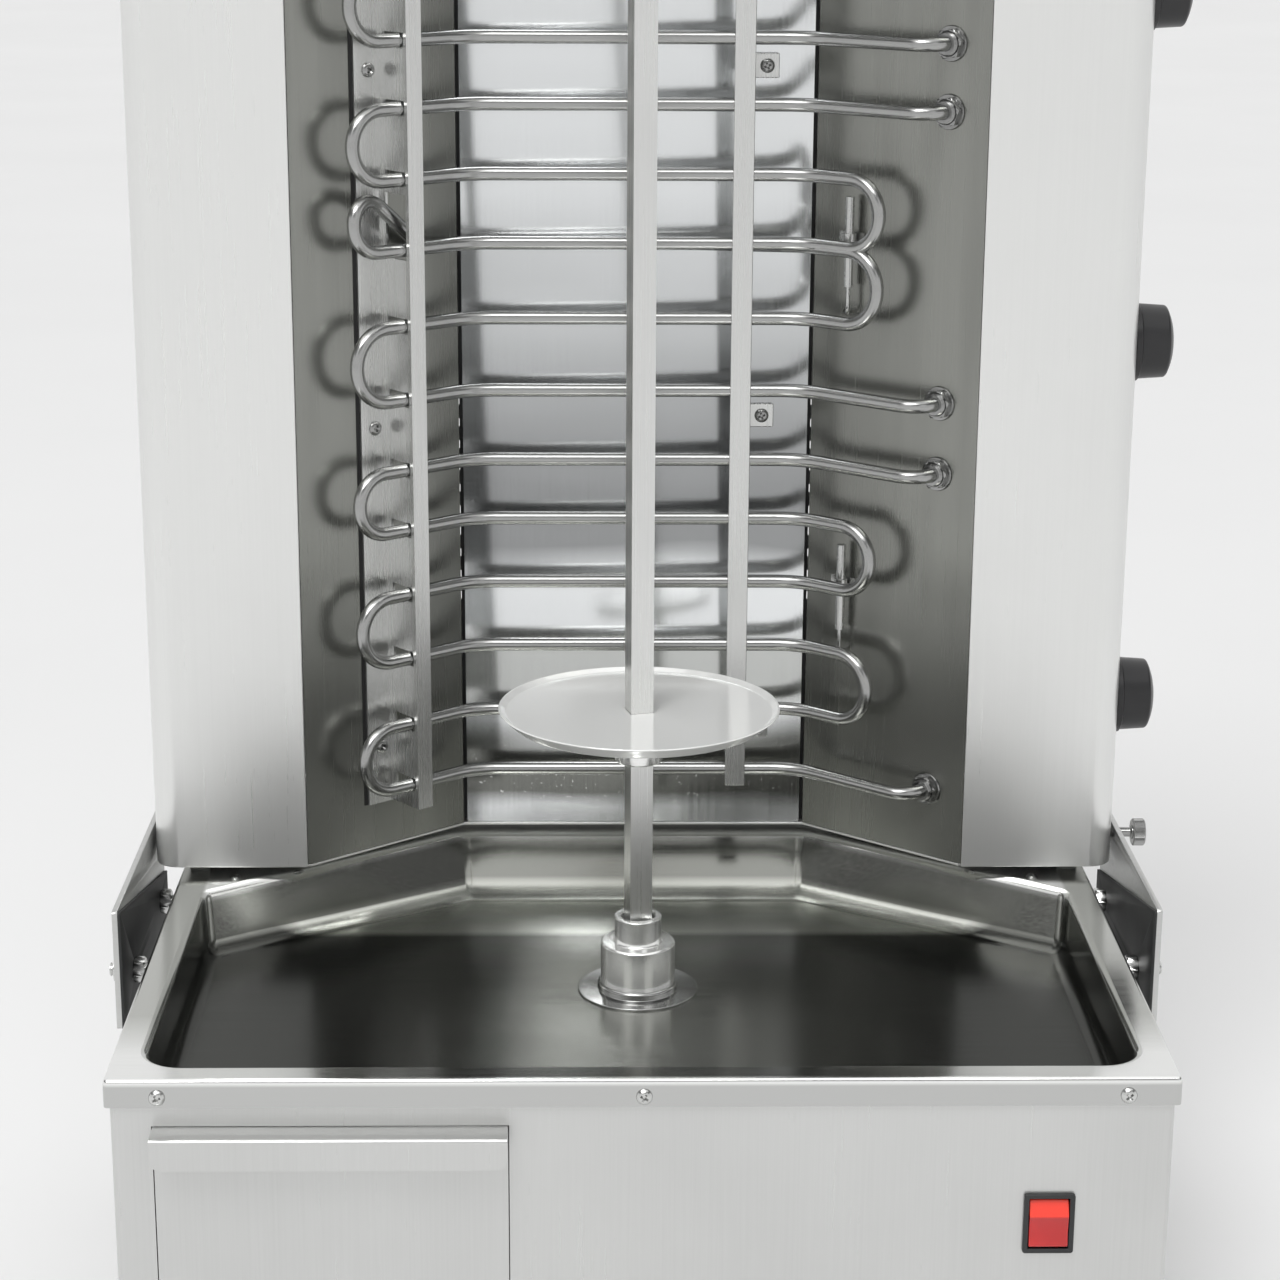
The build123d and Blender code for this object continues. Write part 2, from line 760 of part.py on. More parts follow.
def rear_cover():
    """Rear panel with two fields of cooling slots."""
    half = head_half_width - rear_cover_inset
    panel = block(-half, half, head_rear_y, head_rear_y + sheet,
                  head_z + rear_cover_foot, head_top - rear_cover_drop)
    outer = head_half_width - rear_slot_side_inset
    for field in rear_slot_fields:
        for index in range(rear_slot_count):
            z = head_z + field + index * rear_slot_pitch
            for side in (-1, 1):
                x0, x1 = sorted((side * rear_slot_inner_x, side * outer))
                panel -= block(x0, x1, head_rear_y - 1, head_rear_y + sheet + 1, z, z + rear_slot_height)
    return panel


def rear_screws():
    rear = head_rear_y + sheet
    x = head_half_width - rear_screw_inset
    pitch = (head_height - rear_cover_drop - 2 * rear_screw_foot) / (rear_screw_rows - 1)
    heights = [head_z + rear_screw_foot + row * pitch for row in range(rear_screw_rows)]
    return group(drum_y(head_radius, rear, rear + head_depth, side * x, z) for side in (-1, 1) for z in heights)


def bottom_screws():
    """Screws from below through the bottom cover."""
    spots = [(head_half_width - bottom_screw_inset, bottom_screw_y),
             (mouth_half + small_head_radius + gap, bottom_screw_y + small_head_radius)]
    return group(drum(small_head_radius, head_z - small_head_depth, head_z, side * x, y)
                 for side in (-1, 1) for x, y in spots)


def glide_strips():
    """Strips under the column that run on the rim of the tray and the rear deck."""
    y0, y1 = head_front_y + glide_front_inset, head_rear_y - glide_rear_inset
    outer = tray_half_width - glide_inset
    spans = [sorted((side * (outer - glide_width), side * outer)) for side in (-1, 1)]
    return group(block(x0, x1, y0, y1, rim_z + gap, head_z) for x0, x1 in spans)


# Heating elements: one bent tube each, in runs along the back and both slanted reflectors
def terminal_heights():
    return [lower_runs[0], lower_runs[-1], middle_runs[0], middle_runs[-1], upper_runs[0], upper_runs[-1]]


def back_corner_x(standoff):
    """X where the line in front of the reflector meets the line in front of the back panel."""
    return mouth_half - (back_y - standoff - head_front_y + standoff / cos(side_angle)) / tan(side_angle)


def corner_point(standoff, side, z):
    return side * back_corner_x(standoff), back_y - standoff, z


def terminal_points(z):
    """From the wiring space through the reflector to the line of the runs."""
    x0, y0 = flank_step(terminal_x, 0.0, -terminal_length, 1)
    x1, y1 = flank_step(terminal_x, 0.0, tube_standoff, 1)
    return [(x0, y0, z), (x1, y1, z)]


def turn_points(side, z0, z1):
    """Two corners of a half turn that joins the runs at heights z0 and z1."""
    x = left_turn_x if side < 0 else right_turn_x
    px, py = flank_point(x, tube_standoff, side)
    return [(px, py, z0), (px, py, z1)]


def plain_route(heights):
    """Route of an element with its two ends on the right, and the bend radius at each corner."""
    zs = [rim_z + height for height in heights]
    points = terminal_points(zs[0]) + [corner_point(tube_standoff, 1, zs[0])]
    radii = [tube_bend, tube_bend]
    side = -1
    for low, high in zip(zs[:-1], zs[1:]):
        half = (high - low) / 2 - 0.2
        points += [corner_point(tube_standoff, side, low)] + turn_points(side, low, high)
        points += [corner_point(tube_standoff, side, high)]
        radii += [tube_bend, half, half, tube_bend]
        side = -side
    points += [corner_point(tube_standoff, 1, zs[-1])] + terminal_points(zs[-1])[::-1]
    return points, radii + [tube_bend, tube_bend]


def curled_route(heights):
    """Same as plain_route, but the third run passes behind the fourth and joins it by a raised curl."""
    z0, z1, z2, z3, z4, z5 = [rim_z + height for height in heights]
    main, back = tube_standoff, hidden_standoff
    end_x = left_turn_x
    curl_z = z3 + curl_rise
    points = terminal_points(z0) + [corner_point(main, 1, z0), corner_point(main, -1, z0)]
    points += turn_points(-1, z0, z1) + [corner_point(main, -1, z1), corner_point(main, 1, z1)]
    radii = [tube_bend, tube_bend, tube_bend] + [(z1 - z0) / 2 - 0.2] * 2 + [tube_bend, tube_bend]
    points += turn_points(1, z1, z2) + [corner_point(main, 1, z2), (hidden_from_x, back_y - back, z2)]
    points.append(corner_point(back, -1, z2))
    radii += [(z2 - z1) / 2 - 0.2] * 2 + [tube_bend, 2 * tube_bend, tube_bend]
    for length, standoff, z in ((curl_drop, back, z2), (curl_length, (main + back) / 2, curl_z)):
        x, y = flank_point(end_x - length * cos(side_angle), standoff, -1)
        points.append((x, y, z))
    px, py = flank_point(end_x, main, -1)
    points += [(px, py, curl_z), (px, py, z3)]
    radii += [tube_bend, 6.0, curl_rise / 2 - 0.4, curl_rise / 2 - 0.4]
    points += [corner_point(main, -1, z3), corner_point(main, 1, z3)] + turn_points(1, z3, z4)
    radii += [tube_bend, tube_bend] + [(z4 - z3) / 2 - 0.2] * 2
    points += [corner_point(main, 1, z4), corner_point(main, -1, z4)] + turn_points(-1, z4, z5)
    radii += [tube_bend, tube_bend] + [(z5 - z4) / 2 - 0.2] * 2
    points += [corner_point(main, -1, z5), corner_point(main, 1, z5)] + terminal_points(z5)[::-1]
    return points, radii + [tube_bend, tube_bend, tube_bend]


def element(route):
    points, radii = route
    path = FilletPolyline(*points, radius=radii)
    start = Plane(origin=path @ 0, z_dir=path % 0)
    return sweep(start * Circle(tube_radius), path=path)


def element_glands():
    """Threaded bushes with nuts that hold the elements' ends in the right reflector."""
    glands = []
    for height in terminal_heights():
        z = rim_z + height
        bush = flank_drum(gland_radius, terminal_x, gap, gland_length, z, 1)
        bush += flank_drum(gland_nut_radius, terminal_x, gap, 2.4, z, 1)
        bush += flank_drum(gland_nut_radius, terminal_x, -reflector_sheet - gap - 5.0,
                           -reflector_sheet - gap, z, 1)
        glands.append(bush - flank_drum(tube_radius + fit, terminal_x, -12.0, 12.0, z, 1))
    return group(glands)


# Element holders
def notch_spans():
    """Lowest and highest tube centre in each notch: one per run, and one tall one at the curl."""
    single = lower_runs + middle_runs[:2] + middle_runs[4:] + upper_runs
    return [(height, height) for height in single] + [(middle_runs[2], middle_runs[3] + curl_rise)]


def flank_prism(steps, x, z0, z1, side):
    """Upright prism whose plan is given by distances along and in front of the reflector at x."""
    plan = [flank_step(x, along, out, side) for along, out in steps]
    return prism(plan, z0, z1)


def left_holder():
    """Folded channel on the left reflector, notched where the tubes pass through its web."""
    along = (left_holder_outer_x - left_holder_inner_x) / cos(side_angle)
    reach = holder_web
    t = holder_sheet
    steps = [(0, gap), (along, gap), (along, reach), (along + holder_lip, reach),
             (along + holder_lip, reach + t), (along - t, reach + t), (along - t, gap + t), (0, gap + t)]
    channel = flank_prism(steps, left_holder_outer_x, rim_z + holder_foot, rim_z + holder_top, -1)
    near = hidden_standoff - tube_radius - 1.0
    far = tube_standoff + tube_radius + gap
    slot = [(along - t - 3, near), (along + 3, near), (along + 3, far), (along - t - 3, far)]
    for low, high in notch_spans():
        channel -= flank_prism(slot, left_holder_outer_x, rim_z + low - tube_radius - gap,
                               rim_z + high + tube_radius + gap, -1)
    return channel


def right_holder():
    """Flat bar in front of the tubes, on feet bent back to the panel."""
    y1 = back_y - tube_standoff - tube_radius - gap
    x0 = right_bar_x - right_bar_width / 2
    x1 = right_bar_x + right_bar_width / 2
    t = right_bar_thick
    bar = block(x0, x1, y1 - t, y1, rim_z + holder_foot + 5.0, rim_z + holder_top)
    for height in holder_screw_heights:
        z0, z1 = rim_z + height - 7.0, rim_z + height + 7.0
        bar += block(x1 - t, x1, y1, back_y - gap, z0, z1)
        bar += block(x1, right_tab_x + 7.0, back_y - gap - t, back_y - gap, z0, z1)
    return bar


def holder_screws():
    x = (left_holder_outer_x + left_holder_inner_x) / 2
    out = gap + holder_sheet
    screws = [flank_drum(small_head_radius, x, out, out + small_head_depth, rim_z + height, -1)
              for height in holder_screw_heights]
    y1 = back_y - gap - right_bar_thick
    screws += [drum_y(small_head_radius, y1 - small_head_depth, y1, right_tab_x, rim_z + height)
               for height in holder_screw_heights]
    return group(screws)


def probe_entry():
    """Plan position where a capillary goes straight back through the reflector."""
    x = flank_point(probe_x, probe_standoff, 1)[0]
    return x, flank_y(x)


def heat_probes():
    """Two slim bulbs in front of the right reflector, each with its capillary bent into the wall."""
    probes = []
    x, y = flank_point(probe_x, probe_standoff, 1)
    wall_y = probe_entry()[1] + 7.0
    for top in probe_tops:
        z1 = rim_z + top
        z0 = z1 - probe_length
        low = z0 - capillary_drop
        path = FilletPolyline((x, y, z0 + 2.0), (x, y, low), (x, wall_y, low), radius=5.0)
        wire = sweep(Plane(origin=path @ 0, z_dir=path % 0) * Circle(capillary_radius), path=path)
        probes.append(drum(probe_radius, z0, z1, x, y) + wire)
    return group(probes)


def probe_clips():
    clips = []
    for top in probe_tops:
        z = rim_z + top - probe_length / 2
        x, y = flank_point(probe_x, probe_standoff, 1)
        low = z - clip_half_height
        high = z + clip_half_height
        base = flank_prism([(-clip_tail, gap), (-clip_tail, gap + clip_thick), (clip_toe, gap + clip_thick),
                            (clip_toe, gap)], probe_x, low, high, 1)
        ring = drum(probe_radius + clip_wall, low, high, x, y)
        neck_top = probe_standoff - probe_radius - gap
        neck = flank_prism([(-clip_neck, gap), (-clip_neck, neck_top), (clip_neck, neck_top), (clip_neck, gap)],
                           probe_x, low, high, 1)
        clips.append(base + neck + ring - drum(probe_radius + fit, low - 1, high + 1, x, y))
    return group(clips)


# Knobs and the regulators that they turn
def knob(height):
    """Round knob: a turned foot, a slightly tapered body and a domed end."""
    rim = knob_radius - 2.2
    shoulder = knob_depth - knob_dome
    flat = Polyline((0, 0), (knob_radius, 0), (knob_radius, knob_foot), (knob_radius - 1.2, knob_foot),
                    (rim, shoulder))
    dome = TangentArc((0, knob_depth), (rim, shoulder), tangent=(1, 0))
    profile = make_face(flat.edges() + [dome.edge(), Line((0, knob_depth), (0, 0)).edge()])
    body = revolve(profile, Axis.Y)
    edge = [e for e in body.edges().filter_by(GeomType.CIRCLE) if abs(e.radius - rim) < 0.01]
    body = fillet(edge, knob_shoulder)
    bore = Pos(0, knob_bore / 2, 0) * Rot(90, 0, 0) * Cylinder(spindle_radius + fit, knob_bore)
    turned = Rot(0, 0, -90) * (body - bore)
    return Pos(head_half_width + knob_gap, knob_y, rim_z + height) * turned


def spindle(height):
    """Spindle with a flat, from the regulator into the knob."""
    z = rim_z + height
    return drum_x(spindle_radius, head_half_width - sheet - gap - 12.0,
                  head_half_width + knob_gap + knob_bore - gap, knob_y, z)


def regulators():
    """Three regulators behind the right side wall."""
    x1 = head_half_width - sheet - gap
    half = regulator_size / 2
    bodies = []
    for height in knob_heights:
        z = rim_z + height
        body = block(x1 - regulator_depth, x1, knob_y - half + 8.0, knob_y + half + 8.0, z - half, z + half)
        body -= drum_x(spindle_radius + fit, x1 - 14.0, x1 + 1, knob_y, z)
        bodies.append(body)
    return group(bodies)


# Side arms that guide the column, and its locking screw
def arm_profile(side, thick, x, points, radius):
    """Upright plate at x, from an outline in Y and Z."""
    face = make_face(FilletPolyline(*[(side * x, y, z) for y, z in points], radius=radius, close=True))
    return extrude(face, amount=thick, dir=(side, 0, 0))


def side_arm(side):
    top = rim_z + arm_top
    low = rim_z + arm_bottom
    step = rim_z + arm_foot_top
    plate = arm_profile(side, arm_thick, arm_x,
                        [(arm_front_y, low), (arm_low_rear_y, low), (arm_low_rear_y, step),
                         (arm_rear_y, step), (arm_rear_y, top), (arm_front_y, top)], 2.0)
    slope = [(arm_front_y, low), (arm_low_rear_y, low), (arm_low_rear_y, rim_z - 16.0),
             (arm_front_y, top - 0.5)]
    plate += arm_profile(side, gusset_thick, arm_x - gusset_thick, slope, 1.0)
    for y in arm_bolt_y:
        plate -= drum_x(bolt_radius + fit, side * (arm_x - 6), side * (arm_x + 6), y, arm_bolt_z)
    if side > 0:
        plate -= drum_x(lock_shaft_radius + fit, arm_x - 6, arm_x + 6, lock_y, lock_z)
    return plate


def arm_bolts():
    """Bolts through the arms, with nuts on both faces and on the cabinet's side."""
    z = arm_bolt_z
    pieces = []
    for side in (-1, 1):
        for y in arm_bolt_y:
            wall = side * cabinet_half_width
            inner = side * (arm_x - gusset_thick)
            outer = side * (arm_x + arm_thick)
            bolt = drum_x(bolt_radius, side * (cabinet_half_width - 9.0), outer + side * 9.0, y, z)
            bolt += nut_x(nut_radius, outer, outer + side * nut_height, y, z)
            bolt += nut_x(nut_radius, inner - side * nut_height, inner, y, z)
            bolt += nut_x(nut_radius, wall, wall + side * nut_height, y, z)
            pieces.append(bolt)
    return group(pieces)


def lock_screw():
    """Knurled thumb screw in the thread of the right arm, pressed against the column's side."""
    shaft = drum_x(lock_shaft_radius, head_half_width + gap, lock_head_x, lock_y, lock_z)
    head = drum_x(lock_head_radius, lock_head_x, lock_head_x + lock_head_length, lock_y, lock_z)
    head = chamfer(head.faces().filter_by(Axis.X).edges(), turned_chamfer)
    return shaft + head


# Top support of the spit
def top_slot(half, z0, z1):
    """Slot from the spit's place back by the column's travel, with slack at each end."""
    y0, y1 = -head_travel - top_slot_slack - half, top_slot_slack + half
    return block(-half, half, y0, y1, z0, z1)


def top_arm():
    """Two ribbed bars on the lid with a block between them at each end, which leave a long slot for the spit."""
    inner = spit_pin_radius + gap + top_liner
    outer = top_arm_width / 2
    front, rear = -top_arm_reach, head_front_y + top_arm_tail
    low, top = arm_plate_z, arm_plate_z + top_arm_thick
    pieces = []
    for side in (-1, 1):
        x0, x1 = sorted((side * inner, side * outer))
        bar = block(x0, x1, front, rear, low, top)
        x0, x1 = sorted((side * (outer - top_rib_thick), side * outer))
        pieces.append(bar + block(x0, x1, front + top_rib_inset, rear - top_rib_inset, top, top + top_rib_height))
    pieces.append(block(-inner, inner, front, -head_travel - top_slot_slack - inner, low, top))
    pieces.append(block(-inner, inner, top_slot_slack + inner, rear, low, top))
    return group(pieces)


def top_slot_liner():
    """Brass strip round the slot, where the spit's pin turns."""
    top = arm_plate_z + top_arm_thick
    inner = spit_pin_radius + gap
    return top_slot(inner + top_liner - fit, arm_plate_z, top) - top_slot(inner, arm_plate_z - 1, top + 1)


def top_arm_bolts():
    z = arm_plate_z + top_arm_thick
    return group(drum(top_bolt_radius, z, z + top_bolt_height, x, head_front_y + back)
                 for x in (-top_bolt_x, top_bolt_x) for back in top_bolt_back)


# Electrical inlet inside the base
def cable_gland():
    """Gland in the rear wall, left empty because no cord shows."""
    y = cabinet_rear_y
    hexagon = extrude(RegularPolygon(gland_hex_radius, 6), amount=gland_hex_length)
    body = Pos(inlet_x, y, inlet_z) * Rot(-90, 0, 0) * hexagon
    body += drum_y(gland_body_radius, y - gland_tail, y, inlet_x, inlet_z)
    body += drum_y(gland_body_radius + fit * 10, y + gland_hex_length, y + gland_nose, inlet_x, inlet_z)
    return body - drum_y(inlet_bore, y - gland_tail - 1, y + gland_nose + 1, inlet_x, inlet_z)


def terminal_block():
    x0 = inlet_x - block_left
    y1 = cabinet_rear_y - block_rear_gap
    y0 = y1 - block_depth
    length = 2 * terminal_side + (terminals - 1) * terminal_pitch + terminal_slot
    body = block(x0, x0 + length, y0, y1, floor_top, floor_top + block_height)
    for index in range(terminals):
        x = x0 + terminal_side + index * terminal_pitch
        body -= block(x, x + terminal_slot, y0 - 1, y1 + 1, floor_top + block_height - block_slot_depth,
                      floor_top + block_height + 1)
    return body


def build():
    os.makedirs("parts", exist_ok=True)
    nodes = {
        "base_cabinet": base_cabinet(), "base_floor": base_floor(), "feet": feet(),
        "rear_deck": rear_deck(), "drip_tray": drip_tray(), "tray_screws": tray_screw_heads(),
        "drawer_runners": drawer_runners(), "drawer_box": drawer_box(), "drawer_front": drawer_front(),
        "switch_bezel": switch_bezel(), "switch_rocker": switch_rocker(),
        "gear_motor": gear_motor(), "motor_bracket": motor_bracket(), "motor_spacers": motor_spacers(),
        "shaft_bearing": shaft_bearing(), "seal_flange": seal_flange(), "drive_hub": drive_hub(),
        "drive_shaft": drive_shaft(), "spit_rod": spit_rod(), "meat_plate": meat_plate(),
        "plate_collar": plate_collar(), "set_screw": set_screw(),
        "left_wing": wing(-1), "right_wing": wing(1),
        "left_reflector": reflector(-1), "right_reflector": reflector(1),
        "back_reflector": back_reflector(), "bottom_cover": bottom_cover(), "top_cover": top_cover(),
        "rear_cover": rear_cover(), "rear_screws": rear_screws(), "bottom_screws": bottom_screws(),
        "glide_strips": glide_strips(),
        "lower_element": element(plain_route(lower_runs)),
        "middle_element": element(curled_route(middle_runs)),
        "upper_element": element(plain_route(upper_runs)),
        "element_glands": element_glands(), "left_holder": left_holder(),
        "right_holder": right_holder(), "holder_screws": holder_screws(),
        "heat_probes": heat_probes(), "probe_clips": probe_clips(), "regulators": regulators(),
        "left_arm": side_arm(-1), "right_arm": side_arm(1), "arm_bolts": arm_bolts(),
        "lock_screw": lock_screw(), "top_arm": top_arm(), "top_slot_liner": top_slot_liner(),
        "top_arm_bolts": top_arm_bolts(), "cable_gland": cable_gland(),
        "terminal_block": terminal_block(),
    }
    for name, height in zip(("lower", "middle", "upper"), knob_heights):
        nodes[name + "_knob"] = knob(height)
        nodes[name + "_spindle"] = spindle(height)
    for name, part in nodes.items():
        save(name, part)


build()
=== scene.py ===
from math import atan2, ceil, cos, pi, radians, sin, tan

import bmesh
import bpy
from mathutils import Matrix, Vector


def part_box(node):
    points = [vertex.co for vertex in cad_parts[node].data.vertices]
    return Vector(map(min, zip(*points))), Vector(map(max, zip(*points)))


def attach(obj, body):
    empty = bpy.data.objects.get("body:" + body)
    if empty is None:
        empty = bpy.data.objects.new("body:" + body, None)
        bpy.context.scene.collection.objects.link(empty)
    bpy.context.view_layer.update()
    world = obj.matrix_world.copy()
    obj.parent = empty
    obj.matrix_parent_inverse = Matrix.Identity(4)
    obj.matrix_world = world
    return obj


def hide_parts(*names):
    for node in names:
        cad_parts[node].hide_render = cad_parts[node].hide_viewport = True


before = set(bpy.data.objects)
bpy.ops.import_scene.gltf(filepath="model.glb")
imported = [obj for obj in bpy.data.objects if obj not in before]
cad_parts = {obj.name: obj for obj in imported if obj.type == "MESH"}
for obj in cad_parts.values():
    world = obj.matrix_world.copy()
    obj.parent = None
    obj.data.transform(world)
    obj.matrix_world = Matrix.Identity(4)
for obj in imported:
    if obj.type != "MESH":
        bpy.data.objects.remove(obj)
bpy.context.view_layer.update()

# Electric doner kebab grill, in metres. The spit's axis is X = 0, Y = 0, and the front looks to -Y.

# Places read from the frame
tray_low, tray_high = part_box("drip_tray")
rim_z = tray_high.z
hub_low, hub_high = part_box("drive_hub")
flange_low, flange_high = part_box("seal_flange")
plate_low, plate_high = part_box("meat_plate")
collar_low, collar_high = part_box("plate_collar")
wing_low, wing_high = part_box("right_wing")
panel_low, panel_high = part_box("back_reflector")
arm_low, arm_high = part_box("right_arm")
cabinet_low, cabinet_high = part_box("base_cabinet")
lock_low, lock_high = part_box("lock_screw")

# Sheet and small clearances
sheet = 0.0015
tray_sheet = 0.0012
gap = 0.0003

# Drip tray
rim_width = 0.0175
skirt_height = 0.015
basin_depth = 0.032
basin_side_y = 0.068
basin_rear_y = 0.1765
basin_rear_half = 0.104
basin_corner = 0.020
basin_wall_run = 0.004
basin_rear_run = 0.035
rim_roll = 0.0035
skirt_roll = 0.0022
floor_bend = 0.007
tray_screw_inset = 0.027
tray_screw_drop = 0.0095
tray_screw_side_y = (-0.120, 0.040, 0.150)
rear_screw_rows = 4
shaft_hole = 0.012

# Heater column
mouth_half = 0.194
back_half = 0.1046
head_front_y = wing_low.y
back_y = panel_low.y
side_angle = atan2(back_y - head_front_y, mouth_half - back_half)

# Heating elements: heights above the rim of the straight runs, lowest first
tube_radius = 0.004
tube_standoff = 0.020
lower_runs = (0.0487, 0.0869, 0.1272, 0.1664, 0.2051, 0.2408)
middle_runs = (0.2821, 0.3247, 0.3669, 0.3683, 0.4080, 0.4476)
upper_runs = (0.4851, 0.5237, 0.5623, 0.6009, 0.6395, 0.6781)
left_turn_x = 0.1587
right_turn_x = 0.1363
hidden_standoff = 0.010
hidden_from_x = 0.030
curl_rise = 0.027
curl_length = 0.016
curl_drop = 0.046
terminal_x = 0.1738
terminal_length = 0.028
tube_bend = 0.014
corner_bend = 0.040
curl_top = 0.034
curl_bend = 0.0115

# Element holders and their screws
left_holder_outer_x = 0.160
left_holder_inner_x = 0.1452
holder_sheet = 0.0015
right_bar_thick = 0.002
right_tab_x = 0.075
holder_screw_heights = (0.070, 0.2635, 0.468, 0.660)

# Screws, nuts and bushes
head_radius = 0.0042
head_depth = 0.0024
small_head_radius = 0.0036
small_head_depth = 0.0022
bolt_radius = 0.004
bolt_reach = 0.009
fine_thread = (0.0008, 0.0003)
nut_radius = 0.0075
nut_height = 0.0065
arm_bolt_y = (0.012, 0.118)
arm_bolt_drop = 0.025
gusset_thick = 0.0016
top_bolt_radius = 0.004
top_bolt_thread = 0.0020
lock_thread = 0.0029
lock_neck = 0.0042
lock_head = 0.0074
washer_radius = 0.0100
washer_thick = 0.0012
bush_radius = 0.0064
bush_reach = 0.0070
outer_nut = (0.0090, 0.0032, 0.0062)
inner_nut = (0.0105, 0.0048)
inner_nut_place = 0.0063

# Spit, plate and hub
spit_side = 0.0127
spit_turn = radians(15)
plate_radius = 0.0775
plate_wall = 0.0009
bead_radius = 0.0223
bead_height = 0.0056
seal_disc = 0.0012
seal_bore = 0.01005
hub_foot = 0.0042
hub_step = 0.0195
socket_radius = 0.0133
socket_bore = 0.0094
socket_mouth = 0.006
socket_depth = 0.024
dish_run = 0.007
dish_floor = 0.0046
collar_reach = 0.0024
set_screw_radius = 0.003
set_screw_hole = 0.014
key_radius = 0.0016
key_depth = 0.0025

# Knobs
knob_y = 0.135
knob_heights = (0.101, 0.3145, 0.514)
knob_radius = 0.023
knob_depth = 0.0245
knob_gap = 0.0008
knob_taper = 0.0022
knob_dome = 0.0045
knob_foot = 0.0036
mark_half = 0.0008
mark_depth = 0.0012

# Light levels of the room
room_horizon = 0.80
room_wall = 0.85
room_ceiling = 1.05
room_dim = 0.16
room_panel = 0.95

# Where the room's light changes: heights are sines of the elevation, sides are angles from the front,
# and a third number is the softness of a band's edges
room_wall_foot = (0.02, 0.10)
room_ceiling_edge = (0.70, 0.82)
room_dim_heights = (0.375, 0.74, 0.02)
room_dim_rear = (2.0, 2.5)
room_panel_heights = (0.37, 0.60, 0.03)
room_panel_sides = (0.36, 0.80, 0.05)

# Joints between sheets, drawer lip, rocker
panel_joint = 0.0021
panel_flange = 0.004
joint_depth = 0.0030
joint_width = 0.0033
drawer_close = 0.0011
lip_height = 0.0155
lip_corner = 0.006
lip_bend = 0.0016
rocker_share = 0.34

# Camera: place, and turns down, right and round, fitted to the photograph
camera_place = (-0.0292, -1.5066, 0.8561)
camera_down = radians(16.04)
camera_right = radians(1.12)
camera_roll = radians(0.32)
camera_lens = 80.73


def corner_arc(before, corner, after, radius, step=1.0, count=0):
    """Points of a tangent arc in a corner, in a count of steps or in steps of an angle."""
    u = (before - corner).normalized()
    v = (after - corner).normalized()
    turn = pi - u.angle(v)
    if turn < 1e-4 or radius <= 0:
        return [corner]
    reach = radius * tan(turn / 2)
    centre = corner + (u + v).normalized() * (radius / cos(turn / 2))
    spoke = corner + u * reach - centre
    axis = spoke.cross(corner + v * reach - centre).normalized()
    count = count or max(2, ceil(turn / step))
    return [centre + Matrix.Rotation(turn * k / count, 3, axis) @ spoke for k in range(count + 1)]


def rounded_path(corners, radii, step=radians(6)):
    """Points along straight runs joined by tangent arcs; radii holds one radius per inner corner."""
    corners = [Vector(c) for c in corners]
    points = [corners[0]]
    for before, corner, after, radius in zip(corners, corners[1:], corners[2:], radii):
        points += corner_arc(before, corner, after, radius, step)
    return points + [corners[-1]]


def rounded_profile(corners, step=radians(15)):
    """Profile of (radius, height) from corners of (radius, height, rounding)."""
    path = rounded_path([(r, h, 0) for r, h, c in corners], [c for r, h, c in corners[1:-1]], step)
    return [(p.x, p.y) for p in path]


def polar(radius, angle, height):
    return Vector((radius * cos(angle), radius * sin(angle), height))


